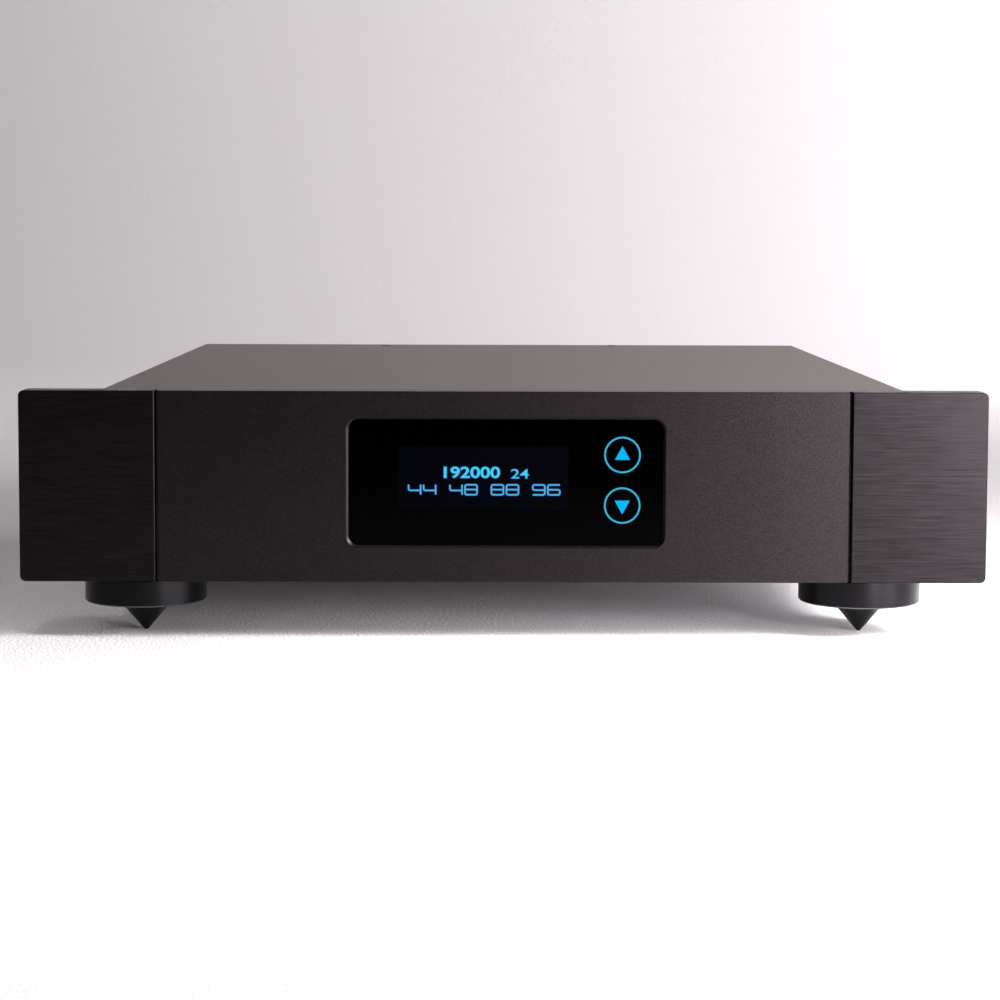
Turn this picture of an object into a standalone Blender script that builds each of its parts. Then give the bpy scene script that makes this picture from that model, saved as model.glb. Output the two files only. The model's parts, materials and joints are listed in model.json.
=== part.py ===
"""A desktop digital-to-analogue converter: an aluminium casing on four spiked feet.

One object is made for each physical piece. The scene is in metres, with +Z up, the front facing -Y
and the origin on the floor under the middle of the object. Every size below is in millimetres, and
MM turns it into metres where a mesh or a place is set."""

import math

import bmesh
import bpy
from mathutils import Euler, Vector

MM = 0.001

# ---------------------------------------------------------------- driving sizes, in millimetres
WIDTH = 425.0
DEPTH = 415.0  # from the fascia's front to the tips of the rear sockets
HEIGHT = 110.0
FRONT = -DEPTH / 2
BACK = DEPTH / 2

FIT = 0.3  # clearance round a piece that sits in another
SEAM = 0.2  # clearance between flat faces that rest on each other

# Fascia: three plates side by side
FASCIA_BOTTOM = 25.8
FASCIA_HEIGHT = HEIGHT - FASCIA_BOTTOM
FASCIA_THICKNESS = 12.0
FASCIA_BACK = FRONT + FASCIA_THICKNESS
CORNER_RADIUS = 2.5
EDGE_CHAMFER = 0.35
JOINT_X = 153.0  # where a cheek meets the middle plate
GROOVE_WIDTH = 1.0  # each plate's share of the shadow groove at a joint
CHEEK_SCREW_X = 165.0
CHEEK_SCREW_Z = (50.0, 96.0)
CHEEK_SCREW_RADIUS = 2.0
CHEEK_SCREW_DEPTH = 3.6  # how far the screw's tip reaches into the cheek

# Window in the middle plate, and what stands behind it
WINDOW_X, WINDOW_Z = 1.0, 69.8
WINDOW_WIDTH, WINDOW_HEIGHT = 138.4, 55.8
WINDOW_RADIUS = 4.5
WINDOW_CHAMFER = 1.0
LIP = 1.7  # thickness of the rim that the glass sits behind
GLASS_THICKNESS = 3.0
GLASS_MARGIN = 3.0  # how far the glass reaches past the window on each side
DISPLAY_X, DISPLAY_Z = -9.0, 71.9
KEYS_X = 52.2
KEYS_Z = (82.0, 59.7)
GLASS_BACK = FRONT + LIP + 2 * SEAM + GLASS_THICKNESS  # where the pieces behind the glass start
DISPLAY_DEPTH = 6.0  # from GLASS_BACK to the end of the display's socket

# Casing
CASING_WIDTH = 360.0
CASING_TOP = 109.6
CASING_BOTTOM = 26.0
CASING_BACK = FRONT + 405.0
SHEET = 2.0
TRAY_SHEET = 2.5
BEND_RADIUS = 3.0
INSIDE_WIDTH = CASING_WIDTH - 2 * SHEET - 1.2
SUBPANEL_THICKNESS = 3.0
SUBPANEL_BACK = FASCIA_BACK + SEAM + SUBPANEL_THICKNESS
SUBPANEL_OPENING = (124.0, 46.0)
BOSS_X, BOSS_Z = 68.0, 60.0  # posts that carry the control board
BOSS_LENGTH = 7.0
PANEL_THICKNESS = 2.5
PANEL_OUTSIDE = CASING_BACK - 2.0
PANEL_INSIDE = PANEL_OUTSIDE - PANEL_THICKNESS
PANEL_LOW, PANEL_HIGH = 26.4, CASING_TOP - SHEET - 0.4
LIP_HEIGHT = 10.0
COVER_SCREW_X = 68.0
COVER_SCREW_Y = CASING_BACK - 10.0
PANEL_SCREW_X = 100.0
PANEL_SCREW_Z = 32.0
SCREW_RADIUS = 1.5
SCREW_HEAD_RADIUS = 3.0
SCREW_PROUD = HEIGHT - CASING_TOP  # how far a screw's head stands out of its sheet

# Feet
FOOT_X = 161.0
FOOT_FRONT_Y = FRONT + 28.0
FOOT_BACK_Y = CASING_BACK - 40.0
DISC_RADIUS = 27.2
DISC_BOTTOM = 14.0
DISC_TOP = CASING_BOTTOM - FIT
SPIKE_RADIUS = 12.0
SPIKE_TIP_RADIUS = 1.9
STUD_RADIUS = 4.0
STUD_TOP = 28.0
BUSH_RADIUS = 6.0

# Rear sockets: places along the panel, all on one centre line
SOCKET_Z = 66.0
MAINS_X = -142.0
USB_X = -84.0
TOSLINK_X = (-58.0, -38.0)
RCA_X = {"rca_input": -14.0, "rca_output_right": 62.0, "rca_output_left": 86.0}
XLR_INPUT_X = 24.0
XLR_OUTPUT_X = {"xlr_output_right": 118.0, "xlr_output_left": 152.0}
XLR_FLANGE = (26.0, 2.2, 31.0)
XLR_BARREL_RADIUS = 11.8
XLR_CUP_RADIUS = 9.3
XLR_PIN_CIRCLE = 4.6
FLANGE_FRONT = PANEL_OUTSIDE + SEAM + XLR_FLANGE[1]
LATCH_HALF_WIDTH = 3.8
LATCH_LOW, LATCH_HIGH = SOCKET_Z + 10.6, SOCKET_Z + 13.8
LATCH_CLEARANCE = 0.4  # round the latch in its slot
LATCH_WALL = 0.5  # of the housing round the slot
RCA_THREAD_RADIUS = 4.9
TOSLINK_SIZE = (13.6, 13.4)
TOSLINK_CAVITY = 9.2
SHUTTER_PIVOT_Y = PANEL_OUTSIDE + 0.2
SHUTTER_PIVOT_Z = SOCKET_Z + 3.9
USB_SIZE = (12.0, 11.2)

# Mains module: its body, and the heights of its three openings
MAINS_BODY = (28.0, 58.0)
MAINS_FLANGE_THICKNESS = 2.6
MAINS_FRONT = PANEL_OUTSIDE + SEAM + MAINS_FLANGE_THICKNESS
INLET_Z = SOCKET_Z - 1.0
DRAWER_Z = SOCKET_Z - 20.5
ROCKER_Z = SOCKET_Z + 20.0
ROCKER_PIVOT_Y = PANEL_OUTSIDE - 1.8
ROCKER_TILT = 7.0
FUSE_Y = PANEL_OUTSIDE - 17.0

# Inside: boards as ((left, near), (right, far)) corners, and other pieces by their centres
BOARD_BOTTOM = 35.2
BOARD_THICKNESS = 1.6
BOARD_TOP = BOARD_BOTTOM + BOARD_THICKNESS
POWER_BOARD = ((-168.0, -44.0), (-44.0, 140.0))
MAIN_BOARD = ((-26.0, -80.0), (168.0, 140.0))
CAPACITORS = ((-148.0, -22.0), (-120.0, -22.0), (-148.0, 8.0), (-120.0, 8.0))
HEATSINK_CORNER = (-60.0, 50.0)
HEATSINK_HEIGHT = 36.0
TRANSFORMER = (-108.0, -112.0)
TRANSFORMER_HEIGHT = 42.0
FLOOR_INSIDE = CASING_BOTTOM + TRAY_SHEET + FIT

STEPS = 32  # segments round a turned piece
FEW_STEPS = 16  # segments round a small hole, pin or screw


# ---------------------------------------------------------------- materials
def material(name, colour, roughness, metallic):
    made = bpy.data.materials.new(name)
    made.use_nodes = True
    shader = made.node_tree.nodes["Principled BSDF"]
    shader.inputs["Base Color"].default_value = (*colour, 1.0)
    shader.inputs["Roughness"].default_value = roughness
    shader.inputs["Metallic"].default_value = metallic
    return made


def make_materials():
    return {
        "fascia": material("fascia", (0.075, 0.068, 0.070), 0.50, 0.9),
        "cheek": material("cheek", (0.070, 0.065, 0.068), 0.42, 0.9),
        "cover": material("cover", (0.085, 0.078, 0.076), 0.48, 0.9),
        "chassis": material("chassis", (0.30, 0.30, 0.31), 0.45, 0.9),
        "rear": material("rear", (0.035, 0.034, 0.036), 0.50, 0.8),
        "glass": material("glass", (0.004, 0.004, 0.005), 0.05, 0.0),
        "display": material("display", (0.01, 0.012, 0.02), 0.25, 0.0),
        "board": material("board", (0.02, 0.10, 0.05), 0.45, 0.0),
        "foot": material("foot", (0.040, 0.040, 0.043), 0.35, 0.9),
        "spike": material("spike", (0.025, 0.025, 0.028), 0.30, 0.9),
        "steel": material("steel", (0.55, 0.55, 0.56), 0.30, 1.0),
        "black_screw": material("black_screw", (0.03, 0.03, 0.032), 0.35, 0.8),
        "black_plastic": material("black_plastic", (0.02, 0.02, 0.022), 0.45, 0.0),
        "socket_metal": material("socket_metal", (0.10, 0.10, 0.11), 0.32, 1.0),
        "gold": material("gold", (0.85, 0.60, 0.25), 0.22, 1.0),
        "capacitor": material("capacitor", (0.02, 0.03, 0.06), 0.35, 0.0),
        "winding": material("winding", (0.45, 0.12, 0.03), 0.40, 0.0),
        "heatsink": material("heatsink", (0.05, 0.05, 0.055), 0.45, 0.8),
        "cable": material("cable", (0.30, 0.31, 0.33), 0.55, 0.0),
        "fuse": material("fuse", (0.70, 0.72, 0.74), 0.15, 0.2),
    }


# ---------------------------------------------------------------- modelling helpers
AXIS_TURN = {"x": (0, 90, 0), "y": (-90, 0, 0), "z": (0, 0, 0)}


def group(name):
    made = bpy.data.collections.new(name)
    bpy.context.scene.collection.children.link(made)
    return made


def add(name, data, slot, centre=(0, 0, 0), turn=(0, 0, 0), parent=None):
    """Links a new object made from a mesh or curve, at centre, turned by angles in degrees."""
    obj = bpy.data.objects.new(name, data)
    parts.objects.link(obj)
    data.materials.append(materials[slot])
    obj.location = Vector(centre) * MM
    obj.rotation_euler = Euler([math.radians(angle) for angle in turn])
    obj.parent = parent
    return obj


def mesh_from(name, bm):
    bmesh.ops.recalc_face_normals(bm, faces=bm.faces)
    mesh = bpy.data.meshes.new(name)
    bm.to_mesh(mesh)
    bm.free()
    mesh.shade_smooth()
    mesh.set_sharp_from_angle(angle=math.radians(35))
    return mesh


def cuboid(size, centre=(0, 0, 0), bm=None):
    """Adds a box to bm, or to a new bmesh."""
    bm = bm or bmesh.new()
    corners = bmesh.ops.create_cube(bm, size=1)["verts"]
    bmesh.ops.scale(bm, vec=Vector(size) * MM, verts=corners)
    bmesh.ops.translate(bm, vec=Vector(centre) * MM, verts=corners)
    return bm


def bevel(bm, width, segments, chosen):
    """Bevels the edges whose direction and middle, in millimetres, the function chosen accepts."""
    edges = []
    for edge in bm.edges:
        first, last = (vert.co / MM for vert in edge.verts)
        if chosen((last - first).normalized(), (first + last) / 2):
            edges.append(edge)
    bmesh.ops.bevel(bm, geom=edges, offset=width * MM, segments=segments, profile=0.5, affect="EDGES")


def runs_along(direction, axis):
    return abs(direction["xyz".index(axis)]) > 0.999


def span(low, high):
    """Size and centre of the box between two corners."""
    low, high = Vector(low), Vector(high)
    return high - low, (low + high) / 2


def box(name, low, high, slot):
    size, centre = span(low, high)
    return add(name, mesh_from(name, cuboid(size)), slot, centre)


def rounded_plate(name, size, centre, radius, slot):
    """A plate facing along Y, with its four corners rounded."""
    bm = cuboid(size)
    bevel(bm, radius, 5, lambda direction, middle: runs_along(direction, "y"))
    return add(name, mesh_from(name, bm), slot, centre)


def thin_sheet(name, bm, slot, centre, thickness):
    """An open surface thickened inwards into one sheet, folded or curved."""
    mesh = bpy.data.meshes.new(name)
    bm.to_mesh(mesh)
    bm.free()
    sheet = add(name, mesh, slot, centre)
    shell = sheet.modifiers.new("thickness", "SOLIDIFY")
    shell.thickness = thickness * MM
    shell.offset = -1
    shell.use_even_offset = True
    return sheet


def cylinder(bm, radius, ends, centre=(0, 0, 0), axis="z", steps=FEW_STEPS):
    """Adds to bm a cylinder that runs between two distances from centre along an axis."""
    verts = bmesh.ops.create_cone(
        bm,
        cap_ends=True,
        segments=steps,
        radius1=radius * MM,
        radius2=radius * MM,
        depth=(ends[1] - ends[0]) * MM,
    )["verts"]
    bmesh.ops.translate(bm, vec=Vector((0, 0, sum(ends) / 2 * MM)), verts=verts)
    facing = Euler([math.radians(angle) for angle in AXIS_TURN[axis]]).to_matrix()
    bmesh.ops.rotate(bm, matrix=facing, verts=verts)
    bmesh.ops.translate(bm, vec=Vector(centre) * MM, verts=verts)


def rod(name, radius, ends, centre, slot, axis="y", steps=FEW_STEPS):
    """One cylinder as an object of its own, with its origin at centre."""
    bm = bmesh.new()
    cylinder(bm, radius, ends, steps=steps)
    return add(name, mesh_from(name, bm), slot, centre, AXIS_TURN[axis])


def turned(name, profile, centre, slot, closed=False, turn=(0, 0, 0), steps=STEPS, parent=None):
    """A turned piece. Its profile is (radius, height) points that run down its outer side."""
    mesh = bpy.data.meshes.new(name)
    points = [(radius * MM, 0, height * MM) for radius, height in profile]
    edges = [(i, i + 1) for i in range(len(points) - 1)]
    if closed:
        edges.append((len(points) - 1, 0))
    mesh.from_pydata(points, edges, [])
    obj = add(name, mesh, slot, centre, turn, parent)
    screw = obj.modifiers.new("turning", "SCREW")
    screw.steps = screw.render_steps = steps
    screw.use_merge_vertices = True
    screw.merge_threshold = 0.00001
    screw.use_smooth_shade = True
    return obj


def arc(centre, radius, start, end, steps):
    """Points of an arc, with its angles in degrees."""
    angles = [math.radians(start + (end - start) * i / steps) for i in range(steps + 1)]
    return [(centre[0] + radius * math.cos(a), centre[1] + radius * math.sin(a)) for a in angles]


def tool(obj):
    """Makes an object a helper of a Boolean, left out of the finished model."""
    parts.objects.unlink(obj)
    cutters.objects.link(obj)
    obj.hide_render = True
    obj.display_type = "WIRE"
    return obj


def boolean(target, helper, operation):
    modifier = target.modifiers.new(helper.name, "BOOLEAN")
    modifier.operation = operation
    modifier.object = tool(helper)


def cut(target, *helpers):
    for helper in helpers:
        boolean(target, helper, "DIFFERENCE")


def join(target, *helpers):
    for helper in helpers:
        boolean(target, helper, "UNION")


def blocks(name, spans, slot):
    """Several separate boxes in one mesh, for one Boolean."""
    bm = bmesh.new()
    for low, high in spans:
        cuboid(*span(low, high), bm)
    return add(name, mesh_from(name, bm), slot)


def empty(name, centre):
    obj = bpy.data.objects.new(name, None)
    parts.objects.link(obj)
    obj.location = Vector(centre) * MM
    return obj


# ---------------------------------------------------------------- fascia
def fascia_cheek(name, side):
    """An end plate. side is -1 on the left and 1 on the right, seen from the front."""
    inner = JOINT_X + SEAM / 2
    width = WIDTH / 2 - inner
    bm = cuboid((width, FASCIA_THICKNESS, FASCIA_HEIGHT))
    bevel(bm, CORNER_RADIUS, 5, lambda d, m: runs_along(d, "y") and m.x * side > 0)
    bevel(bm, GROOVE_WIDTH, 1, lambda d, m: runs_along(d, "z") and m.x * side < 0 and m.y < 0)

    def front_rim(direction, middle):
        at_groove = runs_along(direction, "z") and middle.x * side < 0
        return middle.y < 0.01 - FASCIA_THICKNESS / 2 and not at_groove

    bevel(bm, EDGE_CHAMFER, 1, front_rim)
    centre = (side * (inner + width / 2), FRONT + FASCIA_THICKNESS / 2, FASCIA_BOTTOM + FASCIA_HEIGHT / 2)
    cheek = add(name, mesh_from(name, bm), "cheek", centre)
    for z in CHEEK_SCREW_Z:
        place = (side * CHEEK_SCREW_X, FASCIA_BACK, z)
        drilled = (-CHEEK_SCREW_DEPTH - SEAM, 1)
        cut(cheek, rod(f"{name}_hole_{z:.0f}", CHEEK_SCREW_RADIUS + FIT, drilled, place, "cheek"))


def cheek_screw(name, side, z):
    """Fastens a cheek from behind, through the sub-panel."""
    place = (side * CHEEK_SCREW_X, SUBPANEL_BACK + SEAM, z)
    screw = rod(name, 3.5, (0, 2.6), place, "steel")
    tip = -SUBPANEL_THICKNESS - SEAM - CHEEK_SCREW_DEPTH
    join(screw, rod(f"{name}_shank", CHEEK_SCREW_RADIUS, (tip, 1), place, "steel"))
    cut(screw, rod(f"{name}_socket", 1.5, (1.2, 4), place, "steel", steps=6))


def fascia_center():
    """The middle plate, with the window, the pocket behind it and a rebate at each end."""
    half = JOINT_X - SEAM / 2
    bm = cuboid((2 * half, FASCIA_THICKNESS, FASCIA_HEIGHT))
    bevel(bm, EDGE_CHAMFER, 1, lambda d, m: runs_along(d, "x") and m.y < 0)
    centre = (0, FRONT + FASCIA_THICKNESS / 2, FASCIA_BOTTOM + FASCIA_HEIGHT / 2)
    plate = add("fascia_center", mesh_from("fascia_center", bm), "fascia", centre)
    for side in (-1, 1):
        wall = side * (half - GROOVE_WIDTH)
        past = side * (half + 2)
        rebate = box(
            f"rebate_{side}",
            (min(wall, past), FRONT - 2, FASCIA_BOTTOM - 2),
            (max(wall, past), FRONT + GROOVE_WIDTH, HEIGHT + 2),
            "fascia",
        )
        cut(plate, rebate)
    cut(plate, window_hole(), window_pocket())


def window_hole():
    """Cuts the window and its 45 degree chamfer: a rounded block that widens towards its front."""
    past = 1.0  # how far the cutter stands out of the plate
    size = Vector((WINDOW_WIDTH, 8, WINDOW_HEIGHT))
    bm = cuboid(size, (0, size.y / 2 - past, 0))
    bevel(bm, WINDOW_RADIUS, 5, lambda d, m: runs_along(d, "y"))
    ring = Vector((0, WINDOW_CHAMFER * MM, 0))
    everything = bm.verts[:] + bm.edges[:] + bm.faces[:]
    bmesh.ops.bisect_plane(bm, geom=everything, plane_co=ring, plane_no=(0, 1, 0))
    grow = WINDOW_CHAMFER + past
    for vert in bm.verts:
        if vert.co.y < 0:
            vert.co.x *= (WINDOW_WIDTH + 2 * grow) / WINDOW_WIDTH
            vert.co.z *= (WINDOW_HEIGHT + 2 * grow) / WINDOW_HEIGHT
    return add("window_hole", mesh_from("window_hole", bm), "fascia", (WINDOW_X, FRONT, WINDOW_Z))


def window_pocket():
    margin = GLASS_MARGIN + FIT
    size = (WINDOW_WIDTH + 2 * margin, 20, WINDOW_HEIGHT + 2 * margin)
    return rounded_plate("window_pocket", size, (WINDOW_X, FRONT + LIP + 10, WINDOW_Z), 6, "fascia")


def window_glass():
    size = (WINDOW_WIDTH + 2 * GLASS_MARGIN, GLASS_THICKNESS, WINDOW_HEIGHT + 2 * GLASS_MARGIN)
    place = (WINDOW_X, FRONT + LIP + SEAM + GLASS_THICKNESS / 2, WINDOW_Z)
    rounded_plate("window_glass", size, place, 5.5, "glass")


def display_module():
    """Emitter panel on its own small board."""
    panel = box(
        "display_module",
        (DISPLAY_X - 42, GLASS_BACK, DISPLAY_Z - 17),
        (DISPLAY_X + 42, GLASS_BACK + 2.2, DISPLAY_Z + 17),
        "display",
    )
    backing = box(
        "display_board",
        (DISPLAY_X - 46, GLASS_BACK + 2, DISPLAY_Z - 21),
        (DISPLAY_X + 46, GLASS_BACK + 3.6, DISPLAY_Z + 21),
        "display",
    )
    socket = box(
        "display_socket",
        (DISPLAY_X - 12, GLASS_BACK + 3, DISPLAY_Z - 18),
        (DISPLAY_X + 12, GLASS_BACK + DISPLAY_DEPTH, DISPLAY_Z - 13),
        "display",
    )
    join(panel, backing, socket)


def touch_board():
    """Sensing board behind the two touch keys, with one pad for each key."""
    low = (KEYS_X - 10, GLASS_BACK + 0.8, KEYS_Z[1] - 12.7)
    high = (KEYS_X + 10, GLASS_BACK + 2.4, KEYS_Z[0] + 13)
    backing = box("touch_board", low, high, "board")
    for z in KEYS_Z:
        join(backing, rod(f"touch_pad_{z:.0f}", 8, (0, 1.2), (KEYS_X, GLASS_BACK, z), "board"))


# ---------------------------------------------------------------- casing
def front_subpanel():
    """Plate behind the fascia: it carries the three plates and the control board."""
    half = INSIDE_WIDTH / 2
    front = FASCIA_BACK + SEAM
    panel = box("front_subpanel", (-half, front, PANEL_LOW), (half, SUBPANEL_BACK, PANEL_HIGH), "chassis")
    width, height = SUBPANEL_OPENING
    middle = (WINDOW_X, SUBPANEL_BACK, WINDOW_Z)
    cut(panel, rounded_plate("subpanel_opening", (width, 12, height), middle, 4, "chassis"))
    drills, bosses = bmesh.new(), bmesh.new()
    for side in (-1, 1):
        for z in CHEEK_SCREW_Z:
            place = (side * CHEEK_SCREW_X, SUBPANEL_BACK, z)
            cylinder(drills, CHEEK_SCREW_RADIUS + FIT, (-6, 6), place, "y")
        cylinder(bosses, 3.5, (-1, BOSS_LENGTH), (side * BOSS_X, SUBPANEL_BACK, BOSS_Z), "y")
    cut(panel, add("subpanel_holes", mesh_from("subpanel_holes", drills), "chassis"))
    join(panel, add("subpanel_bosses", mesh_from("subpanel_bosses", bosses), "chassis"))


def base_tray():
    """Folded tray with a low lip all round, holes for the feet and pillars for the boards."""
    half = INSIDE_WIDTH / 2
    low = (-half, SUBPANEL_BACK + SEAM, CASING_BOTTOM)
    high = (half, PANEL_INSIDE - SEAM, CASING_BOTTOM + LIP_HEIGHT)
    size, centre = span(low, high)
    bm = cuboid(size)
    top = [face for face in bm.faces if face.normal.z > 0.9]
    bmesh.ops.delete(bm, geom=top, context="FACES")
    tray = thin_sheet("base_tray", bm, "chassis", centre, TRAY_SHEET)
    drills = bmesh.new()
    for x, y in foot_places():
        cylinder(drills, BUSH_RADIUS + FIT, (-10, 10), (x, y, CASING_BOTTOM))
    for side in (-1, 1):
        place = (side * PANEL_SCREW_X, PANEL_INSIDE, PANEL_SCREW_Z)
        cylinder(drills, SCREW_RADIUS + FIT, (-8, 4), place, "y")
    cut(tray, add("tray_holes", mesh_from("tray_holes", drills), "chassis"))
    pillars = bmesh.new()
    for x, y in board_corners(POWER_BOARD) + board_corners(MAIN_BOARD):
        cylinder(pillars, 3.0, (1, BOARD_BOTTOM - SEAM - CASING_BOTTOM), (x, y, CASING_BOTTOM), steps=12)
    join(tray, add("pillars", mesh_from("pillars", pillars), "chassis"))


def top_cover():
    """Folded sheet: top and both sides in one piece, held by two screws at the back."""
    low = (-CASING_WIDTH / 2, FASCIA_BACK + FIT, CASING_BOTTOM + 1)
    high = (CASING_WIDTH / 2, CASING_BACK, CASING_TOP)
    size, centre = span(low, high)
    bm = cuboid(size)
    gone = [face for face in bm.faces if face.normal.z < -0.9 or abs(face.normal.y) > 0.9]
    bmesh.ops.delete(bm, geom=gone, context="FACES")
    bevel(bm, BEND_RADIUS, 4, lambda d, m: runs_along(d, "y") and m.z > 0)
    cover = thin_sheet("top_cover", bm, "cover", centre, SHEET)
    for side in (-1, 1):
        place = (side * COVER_SCREW_X, COVER_SCREW_Y, CASING_TOP)
        cut(cover, screw_hole(f"cover_hole_{side}", place, "z", "cover"))


def flush_screw(name, place, axis, length):
    """Countersunk screw with a hexagon socket. Its head stands a little proud of the sheet at place."""
    profile = [
        (0, SCREW_PROUD),
        (SCREW_HEAD_RADIUS - 0.15, SCREW_PROUD),
        (SCREW_HEAD_RADIUS, SCREW_PROUD - 0.15),
        (SCREW_HEAD_RADIUS, -0.1),
        (SCREW_RADIUS, SCREW_RADIUS - SCREW_HEAD_RADIUS - 0.1),
        (SCREW_RADIUS, -length),
        (0, -length),
    ]
    screw = turned(name, profile, place, "black_screw", turn=AXIS_TURN[axis], steps=FEW_STEPS)
    cut(screw, rod(f"{name}_socket", 1.0, (-0.8, 2), place, "black_screw", axis, 6))


def screw_hole(name, place, axis, slot):
    """Cutter for a flush screw and its countersink, larger than the screw by the clearance."""
    wide, narrow = SCREW_HEAD_RADIUS + FIT, SCREW_RADIUS + FIT
    sink = -0.1 - FIT
    profile = [(0, 2), (wide, 2), (wide, sink), (narrow, sink + narrow - wide), (narrow, -12), (0, -12)]
    return turned(name, profile, place, slot, turn=AXIS_TURN[axis], steps=FEW_STEPS)


def rear_panel():
    """Back plate with a cut-out for each socket, and a flange along its top for the cover's screws."""
    half = INSIDE_WIDTH / 2
    panel = box("rear_panel", (-half, PANEL_INSIDE, PANEL_LOW), (half, PANEL_OUTSIDE, PANEL_HIGH), "rear")
    flange_top = PANEL_HIGH - SEAM
    flange = box(
        "rear_flange",
        (6 - half, PANEL_INSIDE - 10, flange_top - PANEL_THICKNESS),
        (half - 6, PANEL_INSIDE + 1, flange_top),
        "rear",
    )
    join(panel, flange)
    drills = bmesh.new()
    for side in (-1, 1):
        cylinder(drills, SCREW_RADIUS + FIT, (-5, 5), (side * COVER_SCREW_X, COVER_SCREW_Y, PANEL_HIGH))
        place = (side * PANEL_SCREW_X, PANEL_OUTSIDE, PANEL_SCREW_Z)
        cut(panel, screw_hole(f"panel_hole_{side}", place, "y", "rear"))
    for x in (*XLR_OUTPUT_X.values(), XLR_INPUT_X):
        cylinder(drills, XLR_BARREL_RADIUS + FIT, (-6, 6), (x, PANEL_OUTSIDE, SOCKET_Z), "y", STEPS)
    for x in RCA_X.values():
        cylinder(drills, RCA_THREAD_RADIUS + FIT, (-6, 6), (x, PANEL_OUTSIDE, SOCKET_Z), "y")
    cut(panel, add("round_holes", mesh_from("round_holes", drills), "rear"))
    square = [around_latch(LATCH_CLEARANCE + LATCH_WALL + FIT, PANEL_INSIDE - 3, PANEL_OUTSIDE + 3)]
    holes = [(x, TOSLINK_SIZE) for x in TOSLINK_X] + [(USB_X, USB_SIZE), (MAINS_X, MAINS_BODY)]
    for x, (width, height) in holes:
        half_width, half_height = width / 2 + FIT, height / 2 + FIT
        low = (x - half_width, PANEL_INSIDE - 3, SOCKET_Z - half_height)
        high = (x + half_width, PANEL_OUTSIDE + 3, SOCKET_Z + half_height)
        square.append((low, high))
    cut(panel, blocks("square_holes", square, "rear"))


# ---------------------------------------------------------------- feet
def foot_places():
    return [(x, y) for y in (FOOT_FRONT_Y, FOOT_BACK_Y) for x in (-FOOT_X, FOOT_X)]


def foot(where, x, y):
    """A disc, the threaded bush that holds it to the tray, and the levelling spike in the bush."""
    mount = empty(f"foot_{where}", (x, y, 0))
    foot_disc(f"foot_disc_{where}", mount)
    foot_bush(f"foot_bush_{where}", mount)
    foot_spike(f"foot_spike_{where}", mount)


def foot_disc(name, mount):
    chamfer, bore = 0.5, BUSH_RADIUS + FIT
    profile = [
        (bore, DISC_TOP),
        (DISC_RADIUS - chamfer, DISC_TOP),
        (DISC_RADIUS, DISC_TOP - chamfer),
        (DISC_RADIUS, DISC_BOTTOM + chamfer),
        (DISC_RADIUS - chamfer, DISC_BOTTOM),
        (bore, DISC_BOTTOM),
    ]
    turned(name, profile, (0, 0, 0), "foot", closed=True, steps=40, parent=mount)


def foot_bush(name, mount):
    """Blind threaded bush: its bore is open below and ends just over the stud."""
    head = CASING_BOTTOM + TRAY_SHEET + SEAM
    bore = STUD_RADIUS + FIT
    bore_end = STUD_TOP + 2 * FIT
    profile = [
        (0, head + 2.5),
        (9.0, head + 2.5),
        (9.0, head),
        (BUSH_RADIUS, head),
        (BUSH_RADIUS, DISC_BOTTOM + 1),
        (bore, DISC_BOTTOM + 1),
        (bore, bore_end),
        (0, bore_end),
    ]
    turned(name, profile, (0, 0, 0), "steel", steps=FEW_STEPS, parent=mount)


def foot_spike(name, mount):
    """Cone with a flat tip, and the threaded stud that it screws up and down on."""
    top = DISC_BOTTOM - FIT
    profile = [
        (0, STUD_TOP),
        (STUD_RADIUS - 0.6, STUD_TOP),
        (STUD_RADIUS, STUD_TOP - 0.6),
        (STUD_RADIUS, top),
        (SPIKE_RADIUS - 0.4, top),
        (SPIKE_RADIUS, top - 0.4),
        (SPIKE_TIP_RADIUS + 0.3, 0.3),
        (SPIKE_TIP_RADIUS, 0),
        (0, 0),
    ]
    turned(name, profile, (0, 0, 0), "spike", steps=24, parent=mount)


# ---------------------------------------------------------------- rear sockets
def xlr_shell(name, x):
    """Square flange with a round barrel behind it, shared by the input and the outputs."""
    width, thickness, height = XLR_FLANGE
    middle = (x, FLANGE_FRONT - thickness / 2, SOCKET_Z)
    shell = rounded_plate(name, (width, thickness, height), middle, 3, "socket_metal")
    place = (x, FLANGE_FRONT, SOCKET_Z)
    join(shell, rod(f"{name}_barrel", XLR_BARREL_RADIUS, (-20, -1), place, "socket_metal", steps=STEPS))
    return shell, place


def contact_places(place):
    """Three contacts on a circle: two above and one below."""
    x, y, z = place
    angles = [math.radians(angle) for angle in (30, 150, 270)]
    return [(x + XLR_PIN_CIRCLE * math.cos(a), y, z + XLR_PIN_CIRCLE * math.sin(a)) for a in angles]


def xlr_output(name, x):
    """Male socket: three pins in a cup."""
    shell, place = xlr_shell(name, x)
    cut(shell, rod(f"{name}_cup", XLR_CUP_RADIUS, (-14, 2), place, "socket_metal", steps=STEPS))
    for number, pin in enumerate(contact_places(place)):
        join(shell, rod(f"{name}_pin_{number}", 1.2, (-16, -2), pin, "socket_metal", steps=8))


def around_latch(gap, near, far):
    """Corners of a box that stands off the latch by a gap and runs between two depths."""
    low = (XLR_INPUT_X - LATCH_HALF_WIDTH - gap, near, LATCH_LOW - gap)
    high = (XLR_INPUT_X + LATCH_HALF_WIDTH + gap, far, LATCH_HIGH + gap)
    return low, high


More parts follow.
